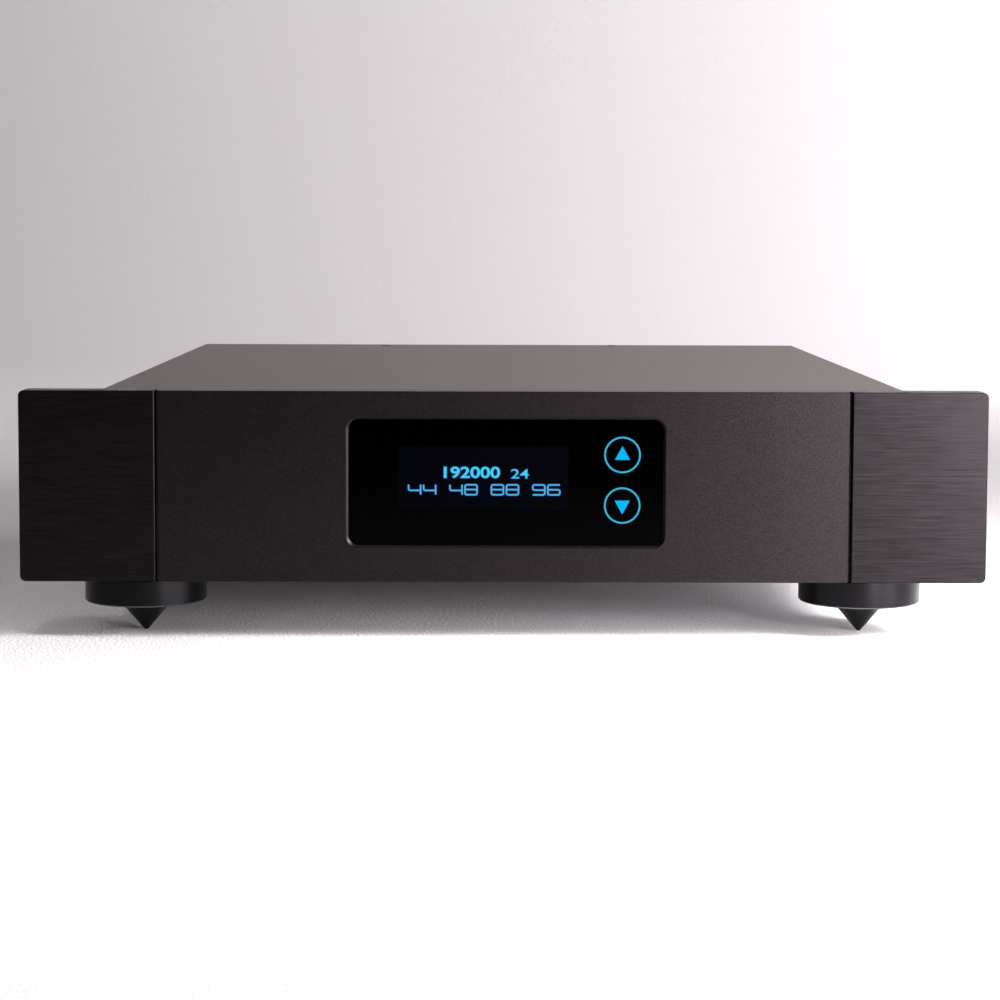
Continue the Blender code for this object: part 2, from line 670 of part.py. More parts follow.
def xlr_input():
    """Female socket: an insert with three contact holes, and a blind slot for the latch over it."""
    shell, place = xlr_shell("xlr_input", XLR_INPUT_X)
    housing = around_latch(LATCH_CLEARANCE + LATCH_WALL, FLANGE_FRONT - 12, FLANGE_FRONT - 1)
    join(shell, box("latch_housing", *housing, "socket_metal"))
    cut(shell, rod("xlr_input_cup", XLR_CUP_RADIUS, (-10, 2), place, "socket_metal", steps=STEPS))
    join(shell, rod("xlr_insert", 7.9, (-12, -0.5), place, "socket_metal", steps=STEPS))
    for number, hole in enumerate(contact_places(place)):
        cut(shell, rod(f"xlr_contact_{number}", 1.5, (-8, 2), hole, "socket_metal", steps=8))
    slot = around_latch(LATCH_CLEARANCE, FLANGE_FRONT - 8, FLANGE_FRONT + 2)
    cut(shell, box("latch_slot", *slot, "socket_metal"))


def xlr_latch():
    """Push tab that frees the plug. Its travel is along Y, into the socket."""
    size, centre = span(*around_latch(0, FLANGE_FRONT - 6, FLANGE_FRONT + 1.8))
    bm = cuboid(size)
    bevel(bm, 0.5, 2, lambda d, m: m.y > size.y / 2 - 0.01)
    add("xlr_latch", mesh_from("xlr_latch", bm), "steel", centre)


def rca_socket(name, x):
    """Gold-plated socket that ends at the object's rearmost plane."""
    tip = BACK - PANEL_OUTSIDE
    profile = [
        (0, tip - 8),
        (1.7, tip - 8),
        (1.7, tip),
        (3.7, tip),
        (4.15, tip - 0.5),
        (4.15, 2.8),
        (6.6, 2.8),
        (7.0, 2.4),
        (7.0, SEAM),
        (RCA_THREAD_RADIUS, SEAM),
        (RCA_THREAD_RADIUS, -14),
        (1.5, -14),
        (1.5, -20),
        (0, -20),
    ]
    place = (x, PANEL_OUTSIDE, SOCKET_Z)
    turned(name, profile, place, "gold", turn=AXIS_TURN["y"], steps=20)


def toslink_socket(name, x):
    """Optical receiver: a block with a square cavity, closed by its shutter."""
    width, height = TOSLINK_SIZE
    low = (x - width / 2, PANEL_OUTSIDE - 18, SOCKET_Z - height / 2)
    high = (x + width / 2, PANEL_OUTSIDE + 1.2, SOCKET_Z + height / 2)
    socket = box(name, low, high, "black_plastic")
    half = TOSLINK_CAVITY / 2
    cavity = box(
        f"{name}_cavity",
        (x - half, PANEL_OUTSIDE - 13, SOCKET_Z - half),
        (x + half, PANEL_OUTSIDE + 3, SOCKET_Z + half),
        "black_plastic",
    )
    cut(socket, cavity)


def toslink_shutter(name, x):
    """Sprung flap that closes the cavity. Its origin is on its pivot, along its top edge."""
    half, thick, length = TOSLINK_CAVITY / 2 - FIT, 0.45, 8.2
    pivot = (x, SHUTTER_PIVOT_Y, SHUTTER_PIVOT_Z)
    size, centre = span((-half, -thick, -length), (half, thick, 0))
    flap = add(name, mesh_from(name, cuboid(size, centre)), "black_plastic", pivot)
    barrel = rod(f"{name}_barrel", 0.5, (-half, half), pivot, "black_plastic", "x", 12)
    join(flap, barrel)


def usb_socket():
    """Square type B socket: a metal shell with two corners cut, round a plastic tongue."""
    width, height = USB_SIZE
    low = (USB_X - width / 2, PANEL_OUTSIDE - 16, SOCKET_Z - height / 2)
    high = (USB_X + width / 2, PANEL_OUTSIDE + 1.2, SOCKET_Z + height / 2)
    shell = box("usb_socket", low, high, "steel")
    low = (USB_X - 4.25, PANEL_OUTSIDE - 9, SOCKET_Z - 3.9)
    high = (USB_X + 4.25, PANEL_OUTSIDE + 3, SOCKET_Z + 3.9)
    size, centre = span(low, high)
    bm = cuboid(size)
    bevel(bm, 1.5, 1, lambda d, m: runs_along(d, "y") and m.z > 0)
    cut(shell, add("usb_cavity", mesh_from("usb_cavity", bm), "steel", centre))
    tongue = box(
        "usb_tongue",
        (USB_X - 2.8, PANEL_OUTSIDE - 12, SOCKET_Z - 1.6),
        (USB_X + 2.8, PANEL_OUTSIDE, SOCKET_Z + 1.6),
        "steel",
    )
    join(shell, tongue)


def around_mains(half_width, half_height, z, near, far):
    """Corners of a box that is centred on the mains module at height z and runs between two depths."""
    return (MAINS_X - half_width, near, z - half_height), (MAINS_X + half_width, far, z + half_height)


def mains_inlet():
    """Power inlet in one housing with the fuse drawer's slot and the rocker's well."""
    width, height = MAINS_BODY
    flange = (width + 4, MAINS_FLANGE_THICKNESS, height + 6)
    middle = (MAINS_X, MAINS_FRONT - MAINS_FLANGE_THICKNESS / 2, SOCKET_Z)
    inlet = rounded_plate("mains_inlet", flange, middle, 2, "black_plastic")
    body = around_mains(width / 2, height / 2, SOCKET_Z, PANEL_OUTSIDE - 32, MAINS_FRONT - 1)
    join(inlet, box("mains_body", *body, "black_plastic"))
    size = Vector((24.4, 17.0, 16.6))
    bm = cuboid(size)
    bevel(bm, 4, 1, lambda d, m: runs_along(d, "y") and m.z > 0)
    recess = (MAINS_X, MAINS_FRONT + 1 - size.y / 2, INLET_Z)
    cut(inlet, add("inlet_recess", mesh_from("inlet_recess", bm), "black_plastic", recess))
    for x, z in ((-7, -2), (7, -2), (0, 2.5)):
        blade = box(
            f"inlet_blade_{x}",
            (MAINS_X + x - 1, MAINS_FRONT - 18, INLET_Z + z - 2),
            (MAINS_X + x + 1, MAINS_FRONT - 3, INLET_Z + z + 2),
            "black_plastic",
        )
        join(inlet, blade)
    slot = around_mains(12.2, 4.2, DRAWER_Z, PANEL_OUTSIDE - 26, MAINS_FRONT + 2)
    well = around_mains(8.6, 7.2, ROCKER_Z, PANEL_OUTSIDE - 14, MAINS_FRONT + 2)
    cut(inlet, blocks("inlet_slots", (slot, well), "black_plastic"))


def fuse_drawer():
    """Drawer that slides out of the mains module with the fuse in its bed."""
    front = MAINS_FRONT + 0.8
    body = around_mains(11.9, 3.9, DRAWER_Z, PANEL_OUTSIDE - 22, front)
    drawer = box("fuse_drawer", *body, "black_plastic")
    bed = around_mains(10.6, 4, DRAWER_Z + 1.1, FUSE_Y - 3.1, FUSE_Y + 3.1)
    grip = around_mains(4, 2, DRAWER_Z + 3.6, front - 1.6, front + 1)
    cut(drawer, box("fuse_bed", *bed, "black_plastic"), box("drawer_grip", *grip, "black_plastic"))


def fuse():
    """Glass cartridge fuse, 20 mm long and 5 mm across, with a metal cap on each end."""
    cap, glass, end = 2.6, 2.35, 10.0
    profile = [
        (0, end),
        (cap, end),
        (cap, end - 5),
        (glass, end - 5),
        (glass, 5 - end),
        (cap, 5 - end),
        (cap, -end),
        (0, -end),
    ]
    turned("fuse", profile, (MAINS_X, FUSE_Y, DRAWER_Z), "fuse", turn=(0, 90, 0), steps=FEW_STEPS)


def power_rocker():
    """Rocker with a shallow V across its face. Its origin is on its pivot, and it rests tilted to on."""
    dip = 1.3
    bm = cuboid((16.4, 9.0, 11.6), (0, 2.0, 0))
    front_sides = []
    for edge in bm.edges:
        first, last = (vert.co for vert in edge.verts)
        if min(first.y, last.y) > 0 and abs(first.z - last.z) > MM:
            front_sides.append(edge)
    bmesh.ops.subdivide_edges(bm, edges=front_sides, cuts=1, use_grid_fill=True)
    for vert in bm.verts:
        if vert.co.y > 0 and abs(vert.co.z) < MM:
            vert.co.y -= dip * MM
    place = (MAINS_X, ROCKER_PIVOT_Y, ROCKER_Z)
    add("power_rocker", mesh_from("power_rocker", bm), "black_plastic", place, (ROCKER_TILT, 0, 0))


# ---------------------------------------------------------------- inside
def board_corners(corners):
    """Places of the four pillars under a board."""
    inset = 6
    (left, near), (right, far) = corners
    return [(x, y) for x in (left + inset, right - inset) for y in (near + inset, far - inset)]


def board(name, corners, raised):
    """Circuit board with its larger components, each (x, y, width, depth, height) from its corner."""
    (left, near), (right, far) = corners
    plate = box(name, (left, near, BOARD_BOTTOM), (right, far, BOARD_TOP), "board")
    tops = []
    for x, y, width, depth, height in raised:
        low = (left + x, near + y, BOARD_TOP - 0.5)
        high = (left + x + width, near + y + depth, BOARD_TOP + height)
        tops.append((low, high))
    join(plate, blocks(f"{name}_components", tops, "board"))


def main_board():
    """Clock, receiver, converters, output stages and their relays, the same for both channels."""
    channel = [(0, 0, 14, 14, 2), (22, 0, 12, 9, 3), (40, 0, 12, 9, 3), (58, 0, 19, 10, 10)]
    raised = [(20, 30, 24, 24, 2.5), (60, 26, 34, 22, 12), (120, 22, 30, 30, 4)]
    for row in (90, 140):
        raised += [(50 + x, row + y, width, depth, height) for x, y, width, depth, height in channel]
    board("main_board", MAIN_BOARD, raised)


def power_board():
    """Mains filter, rectifier and regulators. The large capacitors and the heatsink stand on it."""
    raised = [(12, 130, 30, 24, 22), (52, 136, 18, 18, 14), (80, 20, 20, 8, 16), (80, 40, 20, 8, 16)]
    board("power_board", POWER_BOARD, raised)


def capacitor(name, x, y):
    radius, height, groove = 12.5, 40.0, 0.8
    profile = [
        (0, height),
        (radius - 1, height),
        (radius, height - 1),
        (radius, 6),
        (radius - groove, 5),
        (radius, 4),
        (radius, 0),
        (0, 0),
    ]
    turned(name, profile, (x, y, BOARD_TOP + SEAM), "capacitor", steps=20)


def heatsink():
    """Extruded comb: a back plate with fins, standing on the power board."""
    x, y = HEATSINK_CORNER
    fins, pitch, fin, back, depth = 8, 9.0, 2.4, 4.0, 16.0
    outline = [(0, 0)]
    for number in range(fins):
        start = number * pitch
        outline += [(depth, start), (depth, start + fin)]
        if number < fins - 1:
            outline += [(back, start + fin), (back, start + pitch)]
    outline.append((0, (fins - 1) * pitch + fin))
    curve = bpy.data.curves.new("heatsink", "CURVE")
    curve.dimensions = "2D"
    curve.fill_mode = "BOTH"
    curve.extrude = HEATSINK_HEIGHT / 2 * MM
    line = curve.splines.new("POLY")
    line.points.add(len(outline) - 1)
    for point, (across, along) in zip(line.points, outline):
        point.co = (across * MM, along * MM, 0, 1)
    line.use_cyclic_u = True
    add("heatsink", curve, "heatsink", (x, y, BOARD_TOP + SEAM + HEATSINK_HEIGHT / 2))


def transformer():
    """Toroidal mains transformer, lying on the tray round its own bolt."""
    inner, outer, radius = 15.0, 52.0, 8.0
    high = TRANSFORMER_HEIGHT - radius
    profile = arc((outer - radius, high), radius, 90, 0, 3)
    profile += arc((outer - radius, radius), radius, 0, -90, 3)
    profile += arc((inner + radius, radius), radius, 270, 180, 3)
    profile += arc((inner + radius, high), radius, 180, 90, 3)
    turned("transformer", profile, (*TRANSFORMER, FLOOR_INSIDE), "winding", closed=True)


def transformer_clamp():
    """Dished plate that presses on the windings, and the bolt through it."""
    radius, thickness = 4.0, 2.5
    top = FLOOR_INSIDE + TRANSFORMER_HEIGHT + SEAM
    bore = radius + FIT
    dish = [(bore, thickness), (20, thickness), (34, 2), (34, 0), (20, 0), (bore, 0)]
    turned("transformer_plate", dish, (*TRANSFORMER, top), "steel", closed=True, steps=24)
    under_head = (*TRANSFORMER, top + thickness + SEAM)
    bolt = rod("transformer_bolt", 7.2, (0, 6), under_head, "steel", "z", 6)
    tip = SEAM - TRANSFORMER_HEIGHT - thickness
    join(bolt, rod("transformer_shank", radius, (tip, 1), under_head, "steel", "z"))


def control_board():
    """Small board behind the sub-panel that drives the display and reads the touch keys."""
    near = SUBPANEL_BACK + BOSS_LENGTH + SEAM
    plate = box("control_board", (-75, near, 44), (75, near + BOARD_THICKNESS, 92), "board")
    processor = ((-8, near + 1, 62), (8, near + 3, 78))
    connector = ((-60, near + 1, 50), (-44, near + 5, 60))
    join(plate, blocks("control_chips", (processor, connector), "board"))


def display_ribbon():
    """Flat cable from the display to the control board, in a shallow S."""
    start = GLASS_BACK + DISPLAY_DEPTH + SEAM
    end = SUBPANEL_BACK + BOSS_LENGTH
    half_width, drop, points = 9.0, 8.0, 9
    bm = bmesh.new()
    rows = []
    for i in range(points):
        along = i / (points - 1)
        y = start + (end - start) * along
        z = DISPLAY_Z - 15 - drop * (1 - math.cos(math.pi * along)) / 2
        ends = [Vector((DISPLAY_X + side * half_width, y, z)) * MM for side in (-1, 1)]
        rows.append([bm.verts.new(end_point) for end_point in ends])
    for (a, b), (c, d) in zip(rows, rows[1:]):
        bm.faces.new((a, b, d, c))
    thin_sheet("display_ribbon", bm, "cable", (0, 0, 0), 0.8)


def lead(name, radius, route):
    """Sleeved wire through the points of its route."""
    curve = bpy.data.curves.new(name, "CURVE")
    curve.dimensions = "3D"
    curve.bevel_depth = radius * MM
    curve.bevel_resolution = 2
    curve.use_fill_caps = True
    line = curve.splines.new("POLY")
    line.points.add(len(route) - 1)
    for point, place in zip(line.points, route):
        point.co = (*(Vector(place) * MM), 1)
    add(name, curve, "cable")


def sagging(start, end, sag):
    """Route of a lead between two places, hanging down in a parabola."""
    count = 9
    start, end = Vector(start), Vector(end)
    route = []
    for i in range(count):
        along = i / (count - 1)
        drop = sag * 4 * along * (1 - along)
        route.append(start.lerp(end, along) - Vector((0, 0, drop)))
    return route


def mains_lead():
    """Sleeved lead from the power inlet down to the power board."""
    start = (MAINS_X + 6, PANEL_OUTSIDE - 33, 52)
    end = (-140, 120, 62)
    lead("mains_lead", 3.0, sagging(start, end, 4))


# ---------------------------------------------------------------- assembly
def build():
    fascia_center()
    fascia_cheek("fascia_cheek_left", -1)
    fascia_cheek("fascia_cheek_right", 1)
    for side, where in ((-1, "left"), (1, "right")):
        for z, level in zip(CHEEK_SCREW_Z, ("low", "high")):
            cheek_screw(f"cheek_screw_{where}_{level}", side, z)
        flush_screw(f"cover_screw_{where}", (side * COVER_SCREW_X, COVER_SCREW_Y, CASING_TOP), "z", 6.0)
        flush_screw(f"panel_screw_{where}", (side * PANEL_SCREW_X, PANEL_OUTSIDE, PANEL_SCREW_Z), "y", 7.0)
    window_glass()
    display_module()
    touch_board()
    front_subpanel()
    base_tray()
    top_cover()
    rear_panel()
    for where, (x, y) in zip(("front_left", "front_right", "back_left", "back_right"), foot_places()):
        foot(where, x, y)
    for name, x in XLR_OUTPUT_X.items():
        xlr_output(name, x)
    xlr_input()
    xlr_latch()
    for name, x in RCA_X.items():
        rca_socket(name, x)
    for number, x in enumerate(TOSLINK_X, 1):
        toslink_socket(f"toslink_socket_{number}", x)
        toslink_shutter(f"toslink_shutter_{number}", x)
    usb_socket()
    mains_inlet()
    fuse_drawer()
    fuse()
    power_rocker()
    main_board()
    power_board()
    control_board()
    display_ribbon()
    for number, (x, y) in enumerate(CAPACITORS, 1):
        capacitor(f"capacitor_{number}", x, y)
    heatsink()
    transformer()
    transformer_clamp()
    mains_lead()


for leftover in list(bpy.data.objects):
    bpy.data.objects.remove(leftover)
parts = group("desktop_dac")
cutters = group("cutters")
materials = make_materials()
build()
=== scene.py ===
"""The looks of a desktop digital-to-analogue converter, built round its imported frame.

Lengths are in millimetres, and MM turns them into metres where a mesh or a place is set. +Z is up
and the front faces -Y. Places come from the boxes of the frame's nodes. A piece that stands for a
node keeps that node's outer size, and only its edges, curves and details are finer."""

import json
import math
import random

import bmesh
import bpy
from mathutils import Matrix, Vector
from mathutils.bvhtree import BVHTree

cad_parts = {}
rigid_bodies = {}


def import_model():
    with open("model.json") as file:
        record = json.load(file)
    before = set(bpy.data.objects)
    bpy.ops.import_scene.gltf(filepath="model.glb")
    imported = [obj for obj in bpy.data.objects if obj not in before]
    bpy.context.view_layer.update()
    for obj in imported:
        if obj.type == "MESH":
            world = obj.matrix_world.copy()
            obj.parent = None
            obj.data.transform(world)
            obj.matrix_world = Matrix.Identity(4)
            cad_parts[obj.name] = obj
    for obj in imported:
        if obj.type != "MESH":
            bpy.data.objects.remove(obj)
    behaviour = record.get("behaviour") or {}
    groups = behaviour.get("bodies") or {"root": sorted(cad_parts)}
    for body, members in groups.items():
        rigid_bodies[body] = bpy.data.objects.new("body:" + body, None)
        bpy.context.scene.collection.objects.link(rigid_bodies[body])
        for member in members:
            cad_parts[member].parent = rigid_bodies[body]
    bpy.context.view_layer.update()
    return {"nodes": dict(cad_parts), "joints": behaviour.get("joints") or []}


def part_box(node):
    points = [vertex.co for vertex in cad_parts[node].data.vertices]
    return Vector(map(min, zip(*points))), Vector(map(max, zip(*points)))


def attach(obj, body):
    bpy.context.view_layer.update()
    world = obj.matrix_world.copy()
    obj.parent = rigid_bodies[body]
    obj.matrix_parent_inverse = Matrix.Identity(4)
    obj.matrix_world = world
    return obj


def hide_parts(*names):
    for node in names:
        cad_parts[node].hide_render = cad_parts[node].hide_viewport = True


for leftover in list(bpy.data.objects):
    bpy.data.objects.remove(leftover)
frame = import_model()

MM = 0.001
ROUND = 96  # segments round a turned piece that is seen from near
SMALL_ROUND = 32  # segments round a pin, screw or contact
CORNER_STEPS = 10  # segments round the corner of an outline
SHARP = math.radians(32)  # a fold steeper than this shades as an edge
MERGE = 1e-7  # metres; points nearer than this become one
PAST = 2.0  # how far a cutter reaches past the face it enters by

# Fascia and window
EDGE = 0.35  # broken edges of the fascia's plates
GROOVE, GROOVE_DEPTH = 1.4, 4.0  # the rebate that makes the shadow groove
CHEEK_CHAMFER = 0.35  # on the cheek's edge along the groove
CHEEK_CORNER = 2.5
GLASS_MARGIN = 3.0  # how far the glass reaches past the window on each side
WINDOW_RADIUS = 4.5
WINDOW_CHAMFER = 1.0
POCKET_RADIUS = 6.0
LIP = 1.7  # thickness of the rim in front of the glass

# Display and touch keys. Places and boxes are (x, z) on the glass
LIT = 0.03  # thickness of the lit marks
PANEL_SIZE, PANEL_CENTRE, PANEL_RADIUS = (75.0, 28.0), (-9.0, 71.9), 0.5
RATE_BOX, RATE_WEIGHT = ((-26.35, 71.6), (-1.6, 76.75)), 0.022
DEPTH_BOX, DEPTH_WEIGHT = ((3.2, 71.6), (11.0, 75.7)), 0.004
SCALE_BOX, SCALE_LINE = ((-41.8, 64.35), (24.7, 68.75)), 0.68
SCALE = "44 48 88 96"
HALO = 0.35  # how far a halo reaches past its figures
HALO_WEIGHT = 0.06  # added to the weight of the figures
HALO_LIT = 0.7 * LIT
KEY_X, KEY_HEIGHTS = 52.14, (82.07, 59.71)
RING_RADIUS, RING_LINE = 8.05, 0.75
ARROW_HALF, ARROW_BASE, ARROW_TIP, ARROW_CORNER = 3.35, -2.2, 3.9, 0.3

# Casing and feet
SHEET, BEND = 2.0, 3.0  # thickness and outer bend radius of the folded cover
SCREW_PROUD = 0.4
SCREW_RIM = 0.1  # height of the straight side of a countersunk head
SCREW_CORE = 1.5
SCREW_PITCH = 0.5
SCREW_CLEARANCE = 0.3
HEX_RADIUS, HEX_DEPTH = 1.15, 1.3
BUSH_HOLE = 6.3
DISC_CHAMFER = 0.55
UNDER_GROOVE, UNDER_GROOVE_DEPTH = (14.0, 16.0), 0.4  # radii of the groove under a foot disc
STUD_RADIUS = 4.0
STUD_PITCH = 1.25
TIP = 0.8  # radius of a spike's tip

# Rear sockets
XLR_FLANGE_THICKNESS = 2.2
XLR_BARREL, XLR_CUP, XLR_PIN_CIRCLE = 11.8, 9.3, 4.6  # radii
XLR_MALE_DEPTH, XLR_FEMALE_DEPTH = 14.0, 10.0
XLR_SCREW_X, XLR_SCREW_Z, XLR_SCREW_RADIUS = 9.7, 12.2, 2.2
PIN_ANGLES = (30, 150, 270)
SLEEVE_BORE, SLEEVE = 1.1, 1.45  # radii of a sleeved contact
SLOT_WIDTH, SLOT_DEPTH = 0.45, 1.2  # of a cross recess
RCA_BORE, RCA_BARREL, RCA_NECK, RCA_FLANGE, RCA_TAIL = 3.3, 4.15, 4.9, 7.0, 1.5  # radii
RCA_BOTTOM = -8.5  # of the bore, from the socket's mouth
USB_PANEL = 1.2  # how far the socket's front stands behind its rim
USB_TONGUE, USB_TONGUE_DEPTH = (5.8, 3.4), 9.0
USB_CONTACT = (1.0, 7.0, 0.12)
BLADE, BLADE_FRONT, BLADE_BACK = (2.1, 4.1), 2.95, 15.9
BLADE_PLACES = ((-7, -3), (7, -3), (0, 1.5))
ROCKER_SIZE, ROCKER_FORWARD, ROCKER_DIP = Vector((16.4, 9.0, 11.6)), 2.0, 1.3
ROCKER_TILT = math.radians(7)
ROCKER_SOFT = 0.45  # radius of its softened edges
CLEAR_OF_CAP = 20
MARK_HEIGHT, BAR, RING, RING_HOLE = 2.9, (0.5, 2.8), 1.5, 1.05  # above and below its middle
PRINT = 0.04  # thickness of printed marks
FRAMES = ((-97, 42), (50, 169))  # left and right ends of the printed frames
FRAME_HEIGHT, FRAME_RADIUS, FRAME_LINE = 46.0, 3.0, 0.35

# Boards
BOARD_THICKNESS = 1.6
BOARD_RIM = 8.0  # kept free along a board's edges
PART_SPACE = 0.6  # kept free round each small part
PART_SIZES = ((6, 4, 1.2), (3.2, 1.6, 0.8), (2, 1.2, 0.7), (4.5, 4.5, 1.4))

# Numerals drawn with a thin line: each stroke is a path in a unit square, and whether it closes
LOOP = ([(0, 0), (0, 1), (1, 1), (1, 0)], True)
GLYPHS = {
    "4": (([(0, 1), (0, 0.42), (1, 0.42)], False), ([(1, 1), (1, 0)], False)),
    "6": (([(1, 1), (0, 1), (0, 0), (1, 0), (1, 0.52), (0, 0.52)], False),),
    "8": (LOOP, ([(0, 0.52), (1, 0.52)], False)),
    "9": (([(0, 0), (1, 0), (1, 1), (0, 1), (0, 0.48), (1, 0.48)], False),),
}
GLYPH_WIDTH = 0.80  # of the pitch
WORD_GAP = 0.75  # of the pitch
GLYPH_CORNER = 0.9  # how far from a corner its rounding starts

# Stage, lamps and camera
FLOOR_NEAR, FLOOR_FAR, FLOOR_HALF = -2400.0, 2600.0, 4000.0
BACKDROP_HEIGHT, BACKDROP_BEND = 2600.0, 900.0
WARM, COOL = (1.0, 0.965, 0.955), (1.0, 0.965, 0.988)
WORLD_COLOUR, WORLD_LIGHT, WORLD_SEEN = (0.90, 0.87, 0.89, 1.0), 0.01, 0.80
CAMERA_PLACE = Vector((-8.126, -1242.79, 183.76))
CAMERA_YAW, CAMERA_PITCH, CAMERA_ROLL = 0.00615, 0.07471, 0.00325  # radians
CAMERA_SENSOR, CAMERA_LENS, CAMERA_SHIFT = 36.0, 85.44, -0.1


# ---------------------------------------------------------------- finishes
def link(made, source, target):
    made.node_tree.links.new(source, target)


def shader_of(made):
    return made.node_tree.nodes["Principled BSDF"]


def grain_of(made, scale, stretch=(1, 1, 1)):
    """A noise in the object's own coordinates, with so many grains a metre along each axis."""
    nodes = made.node_tree.nodes
    coordinates = nodes.new("ShaderNodeTexCoord")
    mapping = nodes.new("ShaderNodeMapping")
    mapping.inputs["Scale"].default_value = stretch
    noise = nodes.new("ShaderNodeTexNoise")
    noise.inputs["Scale"].default_value = scale
    link(made, coordinates.outputs["Object"], mapping.inputs["Vector"])
    link(made, mapping.outputs["Vector"], noise.inputs["Vector"])
    return noise.outputs["Fac"]


def tint(made, pattern, dark, light, socket="Base Color"):
    """Runs a colour of the shader from dark to light as the pattern rises."""
    ramp = made.node_tree.nodes.new("ShaderNodeValToRGB")
    first, last = ramp.color_ramp.elements
    first.position, last.position = 0.3, 0.7
    first.color = (*dark, 1.0)
    last.color = (*light, 1.0)
    link(made, pattern, ramp.inputs["Fac"])
    link(made, ramp.outputs["Color"], shader_of(made).inputs[socket])


def vary(made, pattern, low, high):
    """Runs the shader's roughness from low to high as the pattern rises."""
    spread = made.node_tree.nodes.new("ShaderNodeMapRange")
    spread.inputs["From Min"].default_value = 0.3
    spread.inputs["From Max"].default_value = 0.7
    spread.inputs["To Min"].default_value = low
    spread.inputs["To Max"].default_value = high
    link(made, pattern, spread.inputs["Value"])
    link(made, spread.outputs["Result"], shader_of(made).inputs["Roughness"])


def relief(made, pattern, depth):
    """Raises the surface by depth, in millimetres, as the pattern rises."""
    bump = made.node_tree.nodes.new("ShaderNodeBump")
    bump.inputs["Distance"].default_value = depth * MM
    link(made, pattern, bump.inputs["Height"])
    link(made, bump.outputs["Normal"], shader_of(made).inputs["Normal"])


def shades(colour, contrast):
    """A darker and a lighter shade of a colour."""
    dark = tuple(part * (1 - contrast) for part in colour)
    light = tuple(min(1.0, part * (1 + contrast)) for part in colour)
    return dark, light


def surface(name, colour, roughness, metallic=0.0, grain=1500, stretch=(1, 1, 1), depth=0.004,
            contrast=0.12, uneven=0.05, **sockets):
    """A finish whose colour, gloss and relief all follow one grain."""
    made = bpy.data.materials.new(name)
    made.use_nodes = True
    shader_of(made).inputs["Metallic"].default_value = metallic
    for socket, value in sockets.items():
        shader_of(made).inputs[socket.replace("_", " ")].default_value = value
    pattern = grain_of(made, grain, stretch)
    tint(made, pattern, *shades(colour, contrast))
    vary(made, pattern, roughness - uneven, roughness + uneven)
    relief(made, pattern, depth)
    return made


def glowing(name, colour):
    """A lit mark, with the slight unevenness of its emitters."""
    made = surface(name, (0.0001, 0.0001, 0.0001), 0.4, Specular_IOR_Level=0.01)
    shader_of(made).inputs["Emission Strength"].default_value = 1.0
    tint(made, grain_of(made, 900), *shades(colour, 0.06), socket="Emission Color")
    return made


def wound(name, colour, centre, turns):
    """Enamelled wire wound round a ring, with its turns pointing at the ring's centre, painted shade
    between the turns and a painted sheen on their crests.
    """
    made = surface(name, colour, 0.35, grain=300, Coat_Weight=0.4)
    nodes = made.node_tree.nodes
    coordinates = nodes.new("ShaderNodeTexCoord")
    mapping = nodes.new("ShaderNodeMapping")
    mapping.inputs["Location"].default_value = Vector((-centre[0], -centre[1], 0)) * MM
    angle = nodes.new("ShaderNodeTexGradient")
    angle.gradient_type = "RADIAL"
    wire = nodes.new("ShaderNodeMath")
    wire.operation = "PINGPONG"
    wire.inputs[1].default_value = 0.5 / turns
    height = nodes.new("ShaderNodeMath")
    height.operation = "MULTIPLY"
    height.inputs[1].default_value = 2.0 * turns
    link(made, coordinates.outputs["Object"], mapping.inputs["Vector"])
    link(made, mapping.outputs["Vector"], angle.inputs["Vector"])
    link(made, angle.outputs["Fac"], wire.inputs[0])
    link(made, wire.outputs["Value"], height.inputs[0])
    # painted shade and sheen: the colour follows each turn's height, darker in the hollows between turns
    # and lighter on the crests
    tint(made, height.outputs["Value"], *shades(colour, 0.45))
    relief(made, height.outputs["Value"], 0.5)
    return made


